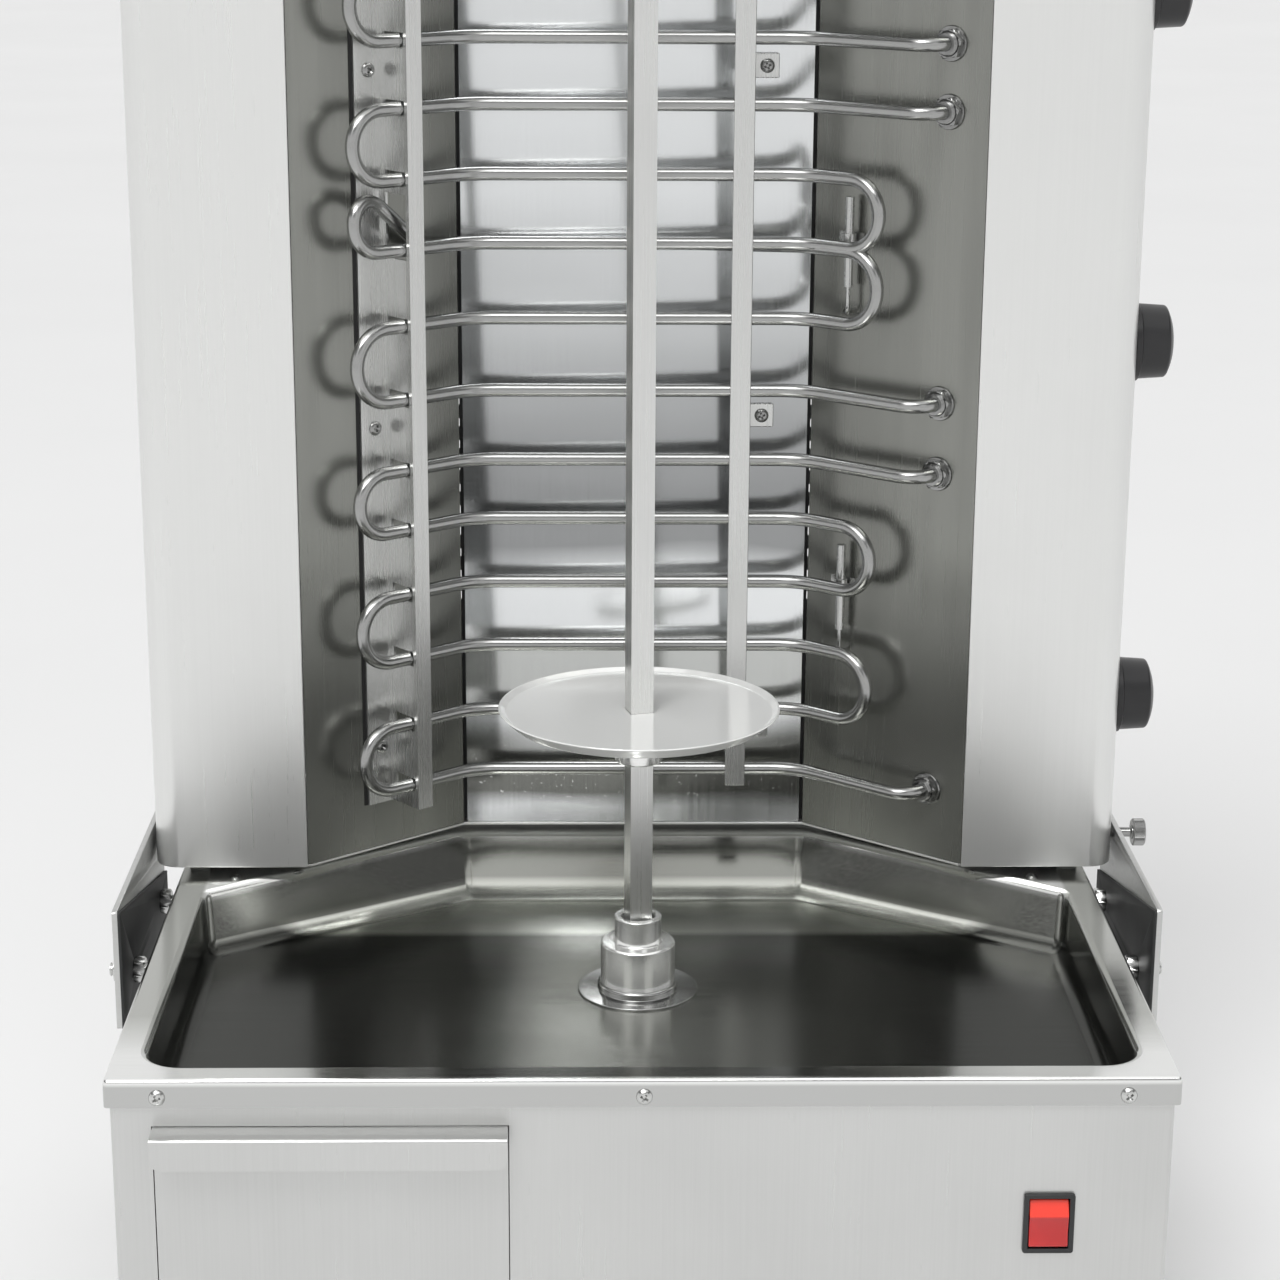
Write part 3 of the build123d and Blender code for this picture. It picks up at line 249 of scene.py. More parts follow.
class Shape:
    """Closed parts gathered into one mesh."""

    def __init__(self):
        self.points = []
        self.faces = []

    def add(self, points, faces):
        base = len(self.points)
        self.points += [Vector(p) for p in points]
        self.faces += [[base + i for i in face] for face in faces]
        return self

    def stack(self, rings, closed=False):
        """Skin over rings of equal count; flat ends, or joined end to start."""
        count = len(rings[0])
        points = [p for ring in rings for p in ring]
        faces = []
        rows = len(rings) if closed else len(rings) - 1
        for row in range(rows):
            low, high = row * count, (row + 1) % len(rings) * count
            for k in range(count):
                n = (k + 1) % count
                faces.append((low + k, low + n, high + n, high + k))
        if not closed:
            faces.append(tuple(reversed(range(count))))
            faces.append(tuple(range(len(points) - count, len(points))))
        return self.add(points, faces)

    def lathe(self, profile, place=Matrix(), segments=72, ring=False):
        """Turned form round the local Z axis, from axis to axis, or a closed ring."""
        points, rows, faces = [], [], []
        for radius, height in profile:
            turns = 1 if radius < 1e-7 else segments
            row = []
            for k in range(turns):
                row.append(len(points))
                points.append(place @ polar(radius, 2 * pi * k / segments, height))
            rows.append(row)
        pairs = list(zip(rows, rows[1:])) + ([(rows[-1], rows[0])] if ring else [])
        for low, high in pairs:
            for k in range(segments):
                n = (k + 1) % segments
                face = [low[k % len(low)], low[n % len(low)], high[n % len(high)], high[k % len(high)]]
                face = [v for i, v in enumerate(face) if v not in face[:i]]
                if len(face) > 2:
                    faces.append(face)
        return self.add(points, faces)

    def tube(self, path, radius, sides=24):
        """Round bar along a path, with flat ends."""
        tangents = []
        for i in range(len(path)):
            ahead = path[min(i + 1, len(path) - 1)] - path[max(i - 1, 0)]
            tangents.append(ahead.normalized())
        side = tangents[0].orthogonal().normalized()
        rings = []
        for point, tangent in zip(path, tangents):
            side = (side - tangent * side.dot(tangent)).normalized()
            up = tangent.cross(side)
            rings.append([point + (side * cos(2 * pi * k / sides) + up * sin(2 * pi * k / sides)) * radius
                          for k in range(sides)])
        return self.stack(rings)

    def prism(self, outline, depth, place=Matrix()):
        """Solid of a flat outline, from local Z = 0 to depth."""
        return self.stack([[place @ Vector((x, y, z)) for x, y in outline] for z in (0, depth)])

    def piece(self, name, smooth_angle=35):
        mesh = bpy.data.meshes.new(name)
        mesh.from_pydata([tuple(p) for p in self.points], [], self.faces)
        tool = bmesh.new()
        tool.from_mesh(mesh)
        bmesh.ops.recalc_face_normals(tool, faces=tool.faces)
        tool.to_mesh(mesh)
        tool.free()
        piece = bpy.data.objects.new(name, mesh)
        bpy.context.scene.collection.objects.link(piece)
        shade(piece, smooth_angle)
        return piece


def shade(piece, angle=35):
    piece.data.shade_smooth()
    piece.data.set_sharp_from_angle(angle=radians(angle))


def bake(piece, angle=35):
    """Applies a piece's modifiers to its mesh."""
    bpy.context.view_layer.update()
    graph = bpy.context.evaluated_depsgraph_get()
    mesh = bpy.data.meshes.new_from_object(piece.evaluated_get(graph))
    piece.modifiers.clear()
    piece.data = mesh
    shade(piece, angle)


def modify(piece, name, kind, **settings):
    modifier = piece.modifiers.new(name, kind)
    for key, value in settings.items():
        setattr(modifier, key, value)


def weigh_normals(piece, weight):
    """Lets wide faces set the shading of the narrow ones beside them."""
    modify(piece, "flat_normals", "WEIGHTED_NORMAL", keep_sharp=True, weight=weight)


def carve(piece, cutters, angle=35):
    """Cuts other pieces out of this one, and removes them."""
    for cutter in cutters:
        modify(piece, "cut", "BOOLEAN", operation="DIFFERENCE", object=cutter)
    bake(piece, angle)
    for cutter in cutters:
        bpy.data.objects.remove(cutter)


def soften(piece, width, segments=2, angle=32):
    """Small round along every sharp edge."""
    modify(piece, "soft_edges", "BEVEL", width=width, segments=segments, limit_method="ANGLE",
           angle_limit=radians(angle), harden_normals=True, use_clamp_overlap=True)


def facing(origin, direction, turn=0.0):
    """Place whose local Z looks along a direction."""
    tilt = Vector((0, 0, 1)).rotation_difference(Vector(direction)).to_matrix().to_4x4()
    return Matrix.Translation(origin) @ tilt @ Matrix.Rotation(turn, 4, "Z")


def box_shape(low, high, turn=0.0):
    outline = [(low[0], low[1]), (high[0], low[1]), (high[0], high[1]), (low[0], high[1])]
    place = Matrix.Rotation(turn, 4, "Z") @ Matrix.Translation((0, 0, low[2]))
    return Shape().prism(outline, high[2] - low[2], place)


# Materials
class Nodes:
    """Shader nodes of one tree, with helpers that make and join them."""

    def __init__(self, tree, coordinates):
        self.tree = tree
        self.place = self.node("TexCoord", coordinates, {})

    def feed(self, socket, value):
        """Links an output to a socket, or sets the socket's own value."""
        if isinstance(value, bpy.types.NodeSocket):
            self.tree.links.new(value, socket)
        else:
            socket.default_value = value

    def node(self, kind, output, inputs, **settings):
        """Makes a node with these settings and inputs, and returns one of its outputs."""
        node = self.tree.nodes.new("ShaderNode" + kind)
        for name, value in settings.items():
            setattr(node, name, value)
        for name, value in inputs.items():
            self.feed(node.inputs[name], value)
        return node.outputs[output]

    def math(self, operation, first, second=0.0):
        return self.node("Math", "Value", {0: first, 1: second}, operation=operation)

    def add(self, first, second):
        return self.math("ADD", first, second)

    def times(self, product, *factors):
        for factor in factors:
            product = self.math("MULTIPLY", product, factor)
        return product

    def axis(self, index):
        return self.node("SeparateXYZ", index, {"Vector": self.place})

    def noise(self, scale, detail=3.0, stretch=(1, 1, 1), rough=0.55):
        place = self.node("Mapping", "Vector", {"Scale": stretch, "Vector": self.place})
        inputs = {"Scale": scale, "Detail": detail, "Roughness": rough, "Vector": place}
        return self.node("TexNoise", "Fac", inputs)

    def ramp(self, value, low, high, out_low, out_high, **settings):
        inputs = {"Value": value, "From Min": low, "From Max": high, "To Min": out_low, "To Max": out_high}
        return self.node("MapRange", "Result", inputs, **settings)

    def rise(self, value, low, high, top=1.0):
        """From 0 at low to top at high."""
        return self.ramp(value, low, high, 0.0, top)

    def fall(self, value, low, high, top=1.0):
        """From top at low to 0 at high."""
        return self.ramp(value, low, high, top, 0.0)

    def mix(self, factor, *colors):
        first, second = [(*color, 1) if isinstance(color, tuple) else color for color in colors]
        return self.node("Mix", "Result", {"Factor": factor, "A": first, "B": second}, data_type="RGBA")


class Finish(Nodes):
    """Node material with a Principled shader."""

    def __init__(self, name):
        self.material = bpy.data.materials.new(name)
        self.material.use_nodes = True
        super().__init__(self.material.node_tree, "Object")
        self.shader = self.tree.nodes["Principled BSDF"]

    def put(self, inputs):
        """Feeds inputs of the shader."""
        for name, value in inputs.items():
            self.feed(self.shader.inputs[name], value)

    def under(self, name):
        """What feeds an input of the shader so far."""
        return self.shader.inputs[name].links[0].from_socket

    def cover(self, mask, level, tint):
        """Lays a tone over the base colour where the mask is 1."""
        self.put({"Base Color": self.mix(mask, self.under("Base Color"), toned(level, tint))})

    def bump(self, height, strength, distance):
        inputs = {"Strength": strength, "Distance": distance, "Height": height}
        self.put({"Normal": self.node("Bump", "Normal", inputs)})


steel_tint = (0.995, 1.0, 0.985)
olive_tint = (0.985, 1.0, 0.93)
cool_tint = (0.97, 0.99, 1.0)


def toned(level, tint):
    return tuple(level * part for part in tint)


def grey(level):
    return toned(level, (1, 1, 1))


def brushed(name, light, dark, roughness, spread, stretch, relief=0.2, smudge=0.5, metallic=1.0,
            tint=steel_tint, anisotropy=0.0):
    """Ground stainless sheet: fine grain along one axis, soft smudges, a few deeper scratches."""
    finish = Finish(name)
    grain = finish.noise(1.0, 4.0, stretch, 0.65)
    cloud = finish.noise(7.0, 3.0)
    scratch = finish.noise(1.0, 2.0, tuple(s * 0.35 for s in stretch), 0.7)
    blend = finish.add(finish.rise(grain, 0.25, 0.75, 0.4), finish.rise(cloud, 0.35, 0.7, smudge))
    blend = finish.add(blend, finish.times(finish.rise(scratch, 0.68, 0.76), 0.1))
    rough = finish.ramp(grain, 0.3, 0.7, roughness - spread, roughness + spread)
    rough = finish.add(rough, finish.ramp(cloud, 0.3, 0.75, -spread * 0.5, spread * 0.6))
    finish.put({"Base Color": finish.mix(blend, toned(light, tint), toned(dark, tint)),
                "Roughness": rough, "Metallic": metallic, "Anisotropic": anisotropy})
    finish.bump(grain, relief, 0.00004)
    return finish


def tray_steel():
    """Polished pressed steel with painted light: painted shade on skirt, basin and floor, painted
    reflections on the front and side rims, a painted bright band at the floor's rear.
    """
    finish = brushed("tray_steel", 0.92, 0.84, 0.15, 0.03, (14, 700, 700), 0.08, 0.3)
    rise, fall, times = finish.rise, finish.fall, finish.times
    across = finish.math("ABSOLUTE", finish.axis(0))
    depth = finish.axis(1)
    height = finish.axis(2)
    inside = times(fall(across, tray_high.x - 0.006, tray_high.x - 0.005),
                   rise(depth, tray_low.y + 0.005, tray_low.y + 0.006),
                   fall(depth, tray_high.y - 0.006, tray_high.y - 0.005))
    # Painted shade: the outside of the skirt below the rim is painted darker.
    skirt = finish.math("SUBTRACT", fall(height, rim_z - 0.004, rim_z - 0.0022), inside)
    finish.cover(skirt, 0.55, steel_tint)
    # Painted reflection: the middle of the front rim is painted dark.
    front_edge = tray_low.y + rim_width
    front = times(rise(depth, tray_low.y + 0.002, tray_low.y + 0.004),
                  fall(depth, front_edge, front_edge + 0.002), fall(across, 0.08, 0.19))
    finish.cover(front, 0.20, olive_tint)
    # Painted reflection: the side rims are painted darker towards the rear.
    side_edge = tray_high.x - rim_width
    sides = times(rise(depth, tray_low.y + 0.03, tray_low.y + 0.08),
                  rise(across, side_edge - 0.001, side_edge + 0.001, 0.8))
    finish.cover(sides, 0.42, olive_tint)
    # Painted shade: the basin below the rim is painted dark.
    finish.cover(times(fall(height, rim_z - 0.006, rim_z - 0.0012), inside), 0.31, olive_tint)
    # Painted shade and reflection: the floor is painted darker still, mottled, and darkest towards its
    # sides.
    floor = rim_z - basin_depth
    low = fall(height, floor + 0.002, floor + 0.010)
    finish.cover(times(low, finish.ramp(finish.noise(16.0, 5.0), 0.35, 0.65, 0.85, 1.0)), 0.34, olive_tint)
    finish.cover(times(low, rise(across, 0.05, 0.16)), 0.06, olive_tint)
    # Painted reflection: a bright band over the rear of the floor and the foot of the rear wall.
    rear_edge = basin_rear_y - basin_rear_run
    rear = times(rise(depth, rear_edge - 0.064, rear_edge - 0.056), low, inside)
    finish.cover(rear, 0.98, olive_tint)
    finish.put({"Roughness": finish.add(finish.under("Roughness"), times(low, 0.07))})
    return finish


def reflector_sheet():
    """Reflector with painted shade: darker near its foot, a painted reflection of the dark joint beside the
    panel's edge, and soft bands of painted shadow.
    """
    finish = brushed("reflector_sheet", 0.32, 0.29, 0.26, 0.02, (900, 900, 9), 0.04, 0.4, 0.9, olive_tint)
    across = finish.math("ABSOLUTE", finish.axis(0))
    # Painted shade: darker towards the foot.
    finish.cover(finish.fall(finish.axis(2), rim_z + 0.02, rim_z + 0.40, 0.45), 0.24, olive_tint)
    # Painted reflection: a dark strip beside the panel's edge, where the joint would be reflected.
    finish.cover(finish.fall(across, panel_high.x + 0.014, panel_high.x + 0.022, 0.6), 0.22, olive_tint)
    # Painted shadow: soft upright bands in place of the elements' shadows.
    finish.cover(finish.rise(finish.noise(1.0, 2.0, (26, 26, 3), 0.5), 0.48, 0.62, 0.5), 0.23, olive_tint)
    return finish


def mirror_panel():
    """Bright panel behind the elements, with painted reflections darkening its middle and two bands below
    it, and spattered near its foot.
    """
    finish = brushed("mirror_panel", 0.93, 0.89, 0.15, 0.03, (700, 700, 10), 0.06, 0.3, 0.88, cool_tint)
    rise, fall, times = finish.rise, finish.fall, finish.times
    height = finish.axis(2)
    level = finish.add(height, times(finish.noise(5.0, 2.0, (1, 1, 4)), 0.05))
    # Painted reflection: the panel is painted darker from above its lower bands, fading upwards.
    painted_reflection = times(rise(level, 0.432, 0.455), finish.ramp(level, 0.50, 0.67, 1.0, 0.12))
    finish.cover(painted_reflection, 0.36, cool_tint)
    # Painted reflection: two darker bands lower on the panel.
    finish.cover(times(rise(level, 0.290, 0.305), fall(level, 0.325, 0.345)), 0.22, olive_tint)
    finish.cover(times(rise(level, 0.345, 0.365, 0.62), fall(level, 0.395, 0.41)), 0.40, olive_tint)
    specks = rise(finish.noise(420.0, 2.0), 0.66, 0.72, 0.7)
    finish.cover(times(fall(height, rim_z + 0.030, rim_z + 0.070), specks), 0.95, steel_tint)
    return finish


def turned(name, light, dark, roughness, metallic=1.0):
    """Turned steel: fine rings round the axis and a stretched highlight."""
    finish = brushed(name, light, dark, roughness, 0.04, (60, 60, 2600), metallic=metallic, anisotropy=0.5)
    finish.put({"Tangent": finish.node("Tangent", "Tangent", {}, direction_type="RADIAL", axis="Z")})
    return finish


def galvanised():
    """Zinc-coated sheet with soft spangle."""
    finish = Finish("galvanised")
    cells = finish.node("TexVoronoi", "Color", {"Scale": 90.0, "Vector": finish.place})
    tone = finish.rise(cells, 0.0, 1.0)
    finish.put({"Base Color": finish.mix(tone, grey(0.46), grey(0.62)), "Metallic": 1.0,
                "Roughness": finish.ramp(tone, 0.0, 1.0, 0.34, 0.52)})
    finish.bump(finish.noise(260.0, 3.0), 0.12, 0.0001)
    return finish


def plastic(name, color, roughness, grain=900.0, relief=0.12, metallic=0.0):
    """Moulded or painted surface: fine texture, slight wear in tone and gloss."""
    finish = Finish(name)
    cloud = finish.noise(24.0, 4.0)
    worn = tuple(min(1.0, c * 1.35 + 0.004) for c in color)
    finish.put({"Base Color": finish.mix(finish.rise(cloud, 0.4, 0.72), color, worn), "Metallic": metallic,
                "Roughness": finish.ramp(cloud, 0.3, 0.7, roughness - 0.05, roughness + 0.08)})
    finish.bump(finish.noise(grain, 2.0), relief, 0.00008)
    return finish


def rocker_crest():
    """Height at which the rocker's pressed end begins."""
    low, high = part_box("switch_rocker")
    return high.z - (high.z - low.z) * rocker_share


def rocker_red():
    """Clear red moulding over a lamp, unlit; its pressed upper end is painted paler red as a painted
    highlight.
    """
    finish = plastic("rocker_red", (0.45, 0.006, 0.006), 0.18, 400.0, 0.03)
    crest = rocker_crest()
    # Painted highlight: the pressed upper end is painted paler red.
    finish.cover(finish.rise(finish.axis(2), crest - 0.0004, crest + 0.0008), 1.0, (0.95, 0.045, 0.020))
    finish.put({"Coat Weight": 0.6, "Coat Roughness": 0.08, "Subsurface Weight": 0.15,
                "Subsurface Scale": 0.004})
    return finish


def liner_brass():
    finish = brushed("liner_brass", 0.70, 0.55, 0.28, 0.06, (300, 900, 900))
    finish.put({"Base Color": finish.mix(finish.noise(40.0, 3.0), (0.78, 0.56, 0.24), (0.58, 0.40, 0.17))})
    return finish


def finishes():
    upright = (900, 900, 9)
    steels = {
        "brushed_sheet": (0.81, 0.76, 0.32, 0.04, upright, 0.06, 0.4, 0.75),
        "cabinet_sheet": (0.66, 0.60, 0.32, 0.05, upright, 0.08, 0.6, 0.8),
        "arm_sheet": (0.62, 0.54, 0.36, 0.05, (40, 300, 900), 0.15),
        "holder_sheet": (0.70, 0.64, 0.26, 0.04, (700, 700, 7), 0.04, 0.3, 0.9),
        "plate_steel": (0.96, 0.92, 0.12, 0.03, (80, 900, 900), 0.04, 0.3, 0.36),
        "element_tube": (0.42, 0.39, 0.24, 0.01, (60, 60, 60), 0.0, 0.3),
        "bar_steel": (0.78, 0.66, 0.30, 0.05, (1200, 1200, 12)),
        "fastener_steel": (0.72, 0.56, 0.22, 0.05, (300, 300, 300), 0.1),
        "bush_steel": (0.40, 0.24, 0.20, 0.05, (300, 300, 300)),
        "probe_steel": (0.66, 0.50, 0.26, 0.05, (200, 200, 60), 0.1),
    }
    ringed = {
        "turned_steel": (0.98, 0.92, 0.16, 0.82),
        "seal_steel": (0.50, 0.42, 0.18),
        "knurled_steel": (0.42, 0.32, 0.24),
    }
    plastics = {
        "knob_black": ((0.013, 0.013, 0.014), 0.36),
        "switch_black": ((0.016, 0.017, 0.018), 0.30),
        "foot_rubber": ((0.018, 0.018, 0.018), 0.72, 500.0, 0.3),
        "motor_paint": ((0.09, 0.10, 0.11), 0.45, 300.0, 0.2),
        "regulator_body": ((0.55, 0.53, 0.49), 0.5, 300.0, 0.2),
        "gland_plastic": ((0.022, 0.022, 0.024), 0.42, 600.0, 0.15),
        "terminal_ceramic": ((0.72, 0.70, 0.64), 0.35, 200.0, 0.15),
        # Painted shade: near-black for the arms' inner faces.
        "arm_stiffener": ((0.035, 0.036, 0.036), 0.6, 300.0, 0.1, 0.4),
        # Painted shade: black for the strips that stand in for shadow in the joints.
        "joint_shade_black": ((0.012, 0.012, 0.012), 0.8),
        "pointer_white": ((0.70, 0.70, 0.68), 0.4),
    }
    looks = {name: brushed(name, *values) for name, values in steels.items()}
    looks.update({name: turned(name, *values) for name, values in ringed.items()})
    looks.update({name: plastic(name, *values) for name, values in plastics.items()})
    looks.update({"reflector_sheet": reflector_sheet(), "mirror_panel": mirror_panel(),
                  "tray_steel": tray_steel(), "galvanised": galvanised(), "rocker_red": rocker_red(),
                  "liner_brass": liner_brass()})
    return looks


def paint(piece, finish):
    """Puts a finish in every material slot of a piece."""
    if not piece.data.materials:
        piece.data.materials.append(None)
    for index in range(len(piece.data.materials)):
        piece.data.materials[index] = finish.material


def smoothing_group():
    """Joins the split corners of an imported mesh and smooths its curved faces."""
    tree = bpy.data.node_groups.new("merged_and_smoothed", "GeometryNodeTree")
    tree.interface.new_socket("Geometry", in_out="INPUT", socket_type="NodeSocketGeometry")
    tree.interface.new_socket("Geometry", in_out="OUTPUT", socket_type="NodeSocketGeometry")
    start = tree.nodes.new("NodeGroupInput")
    end = tree.nodes.new("NodeGroupOutput")
    drop = tree.nodes.new("GeometryNodeRemoveAttribute")
    drop.inputs["Name"].default_value = "custom_normal"
    merge = tree.nodes.new("GeometryNodeMergeByDistance")
    merge.inputs["Distance"].default_value = 1e-6
    faces = tree.nodes.new("GeometryNodeSetShadeSmooth")
    edges = tree.nodes.new("GeometryNodeSetShadeSmooth")
    edges.domain = "EDGE"
    edges.inputs["Shade Smooth"].default_value = False
    angle = tree.nodes.new("GeometryNodeInputMeshEdgeAngle")
    sharp = tree.nodes.new("FunctionNodeCompare")
    sharp.operation = "GREATER_THAN"
    sharp.inputs[1].default_value = radians(32)
    link = tree.links.new
    link(start.outputs[0], drop.inputs["Geometry"])
    link(drop.outputs["Geometry"], merge.inputs["Geometry"])
    link(merge.outputs["Geometry"], faces.inputs["Geometry"])
    link(faces.outputs["Geometry"], edges.inputs["Geometry"])
    link(angle.outputs["Unsigned Angle"], sharp.inputs[0])
    link(sharp.outputs["Result"], edges.inputs["Selection"])
    link(edges.outputs["Geometry"], end.inputs[0])
    return tree


joining_group = smoothing_group()
looks = finishes()


# Pieces
def place_piece(piece, body, slot, *nodes, look=None):
    """Gives a piece its finish, its body and the nodes that it stands for."""
    paint(piece, looks[look or slot])
    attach(piece, body)
    if nodes:
        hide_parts(*nodes)


def basin_ring(z, grow):
    """Closed line round the basin at a height, moved outwards by grow."""
    share = min(1.0, max(0.0, (rim_z - z) / basin_depth))
    side_run, rear_run = basin_wall_run * share, basin_rear_run * share
    half = tray_high.x - rim_width - side_run + grow
    front = tray_low.y + rim_width + side_run - grow
    rear = basin_rear_y - rear_run + grow
    side = basin_side_y - rear_run * 0.5 + grow * 0.5
    corner = basin_rear_half - side_run + grow * 0.4
    plan = [(-half, front), (half, front), (half, side), (corner, rear), (-corner, rear), (-half, side)]
    radii = [basin_corner + grow] * 2 + [basin_corner / 2 + grow] * 4
    return rounded_loop(plan, radii, z)


def rounded_loop(plan, radii, z, steps=10):
    """Closed line with the same number of points on each rounded corner."""
    ring = []
    count = len(plan)
    for i, radius in enumerate(radii):
        before, corner, after = [Vector((*plan[(i + d) % count], z)) for d in (-1, 0, 1)]
        ring += corner_arc(before, corner, after, radius, count=steps)
    return ring


def rim_ring(z, inset):
    """Closed line round the outside of the tray's rim."""
    half = tray_high.x - inset
    front = tray_low.y + inset
    rear = tray_high.y - inset
    corner = 0.0025 - inset * 0.5
    return rounded_loop([(-half, front), (half, front), (half, rear), (-half, rear)], [corner] * 4, z, 6)


def join_loops(tool, loops):
    """Fills the flat area between closed lines of vertices."""
    edges = []
    for loop in loops:
        for a, b in zip(loop, loop[1:] + loop[:1]):
            edges.append(tool.edges.get((a, b)) or tool.edges.new((a, b)))
    bmesh.ops.triangle_fill(tool, use_beauty=True, use_dissolve=False, edges=edges)


def skin(tool, rings):
    """Walls between successive rings; returns their vertices, ring by ring."""
    rows = [[tool.verts.new(p) for p in ring] for ring in rings]
    for low, high in zip(rows, rows[1:]):
        count = len(low)
        for k in range(count):
            n = (k + 1) % count
            tool.faces.new((low[k], low[n], high[n], high[k]))
    return rows


def quarter_bend(count):
    """Steps of a quarter round: the share left across it, and the share gone along it."""
    angles = [pi / 2 * k / count for k in range(count + 1)]
    return [(1 - sin(a), 1 - cos(a)) for a in angles]


def drip_tray():
    """Pressed tray: folded skirt, flat rim, rolled edge, sloped walls and a bent-in floor."""
    tool = bmesh.new()
    outside = [rim_ring(rim_z - skirt_height, 0.0)]
    outside += [rim_ring(rim_z - skirt_roll * left, skirt_roll * gone) for left, gone in quarter_bend(5)]
    skirt = skin(tool, outside)
    floor = rim_z - basin_depth
    wall = [basin_ring(rim_z - rim_roll * gone, rim_roll * left) for left, gone in quarter_bend(7)]
    wall += [basin_ring(floor + floor_bend * left, -floor_bend * gone) for left, gone in quarter_bend(7)]
    basin = skin(tool, wall)
    hole = [tool.verts.new(polar(shaft_hole, 2 * pi * k / 40, floor)) for k in range(40)]
    join_loops(tool, [skirt[-1], basin[0]])
    join_loops(tool, [basin[-1], hole])
    bmesh.ops.recalc_face_normals(tool, faces=tool.faces)
    up = sum(f.normal.z * f.calc_area() for f in tool.faces)
    if up < 0:
        bmesh.ops.reverse_faces(tool, faces=tool.faces)
    mesh = bpy.data.meshes.new("pressed_tray")
    tool.to_mesh(mesh)
    tool.free()
    piece = bpy.data.objects.new("pressed_tray", mesh)
    bpy.context.scene.collection.objects.link(piece)
    modify(piece, "sheet", "SOLIDIFY", thickness=tray_sheet, offset=-1)
    bake(piece, 40)
    weigh_normals(piece, 80)
    place_piece(piece, "base", "tray_steel", "drip_tray")


def phillips_head(radius, depth):
    """Pan head with a cross recess, standing on local Z = 0."""
    profile = rounded_profile([(0, 0, 0), (radius, 0, 0.0001), (radius, depth * 0.42, radius * 0.35),
                               (radius * 0.62, depth, radius * 0.5), (0, depth, 0)])
    head = Shape().lathe(profile, segments=40).piece("head")
    arm, width = radius * 0.52, radius * 0.15
    cutters = []
    for turn in (0, pi / 2):
        top = [(-arm, -width), (arm, -width), (arm, width), (-arm, width)]
        low = [(x * 0.35, y * 0.8) for x, y in top]
        place = Matrix.Rotation(turn, 4, "Z")
        rings = [[place @ Vector((x, y, z)) for x, y in plan]
                 for plan, z in ((low, depth * 0.25), (top, depth * 0.93), (top, depth * 1.3))]
        cutters.append(Shape().stack(rings).piece("cross"))
    carve(head, cutters, 30)
    points = [v.co.copy() for v in head.data.vertices]
    faces = [tuple(p.vertices) for p in head.data.polygons]
    bpy.data.objects.remove(head)
    return points, faces


def screw_group(node, body, head, spots, look=None):
    """Screw heads at (place, outward direction, turn of the cross), in place of a node."""
    points, faces = head
    shape = Shape()
    for spot, direction, turn in spots:
        place = facing(spot, direction, turn)
        shape.add([place @ p for p in points], faces)
    piece = shape.piece(node.replace("screws", "screw_heads"), 30)
    place_piece(piece, body, "fastener_steel", node, look=look)


def hexagon_radius(angle, corner):
    return corner * cos(pi / 6) / cos((angle + pi / 6) % (pi / 3) - pi / 6)


def add_nut(shape, place, corner, height, bore):
    """Chamfered hexagonal nut with a bore, standing on local Z = 0."""
    count = 48
    angles = [2 * pi * k / count for k in range(count)]
    flat = corner * cos(pi / 6) * 1.015
    mouth = bore * 1.12
    rings = []
    for z, cap in ((0, flat), (height * 0.13, corner), (height * 0.87, corner), (height, flat)):
        rings.append([place @ polar(min(hexagon_radius(a, corner), cap), a, z) for a in angles])
    for z, radius in ((height, mouth), (height * 0.9, bore), (height * 0.1, bore), (0, mouth)):
        rings.append([place @ polar(radius, a, z) for a in angles])
    return shape.stack(rings, closed=True)


def thread_profile(radius, z0, z1, pitch=0.00125, depth=0.0005):
    """Profile of a threaded rod from axis to axis, as close rings."""
    profile = [(0, z0), (radius - depth, z0)]
    count = max(1, int((z1 - z0) / pitch))
    step = (z1 - z0) / count
    root = radius - depth
    for k in range(count):
        z = z0 + (z1 - z0) * k / count
        profile += [(root, z + step * 0.12), (radius, z + step * 0.42)]
        profile += [(radius, z + step * 0.58), (root, z + step * 0.88)]
    return profile + [(root, z1), (0, z1)]


def flank_y(x, standoff=0.0):
    """Y of a line in front of the slanted reflector, at a distance from it."""
    return head_front_y + (mouth_half - abs(x)) * tan(side_angle) - standoff / cos(side_angle)


def flank_step(x, along, out, side):
    """Plan point reached from the reflector at x, along it to the rear, then out in front."""
    px = x - along * cos(side_angle) - out * sin(side_angle)
    return side * px, flank_y(x) + along * sin(side_angle) - out * cos(side_angle)


def flank_normal(side):
    return Vector((-side * sin(side_angle), -cos(side_angle), 0))


def corner_point(standoff, side, z):
    reach = (back_y - standoff - head_front_y + standoff / cos(side_angle)) / tan(side_angle)
    return side * (mouth_half - reach), back_y - standoff, z


def terminal_points(z):
    outer = flank_step(terminal_x, 0.0, -terminal_length, 1)
    inner = flank_step(terminal_x, 0.0, tube_standoff, 1)
    return [(*outer, z), (*inner, z)]


def turn_points(side, z0, z1):
    x = left_turn_x if side < 0 else right_turn_x
    y = flank_y(x, tube_standoff)
    return [(side * x, y, z0), (side * x, y, z1)]


def turn_radius(low, high):
    """Bend radius of a half turn between two runs, a little less than half their distance."""
    return (high - low) / 2 - 0.0002


def plain_route(heights):
    """Corners and bend radii of an element with both ends on the right."""
    zs = [rim_z + height for height in heights]
    points = terminal_points(zs[0]) + [corner_point(tube_standoff, 1, zs[0])]
    radii = [tube_bend, corner_bend]
    side = -1
    for low, high in zip(zs, zs[1:]):
        half = turn_radius(low, high)
        points += [corner_point(tube_standoff, side, low)] + turn_points(side, low, high)
        points += [corner_point(tube_standoff, side, high)]
        radii += [corner_bend, half, half, corner_bend]
        side = -side
    points += [corner_point(tube_standoff, 1, zs[-1])] + terminal_points(zs[-1])[::-1]
    return points, radii + [corner_bend, tube_bend]


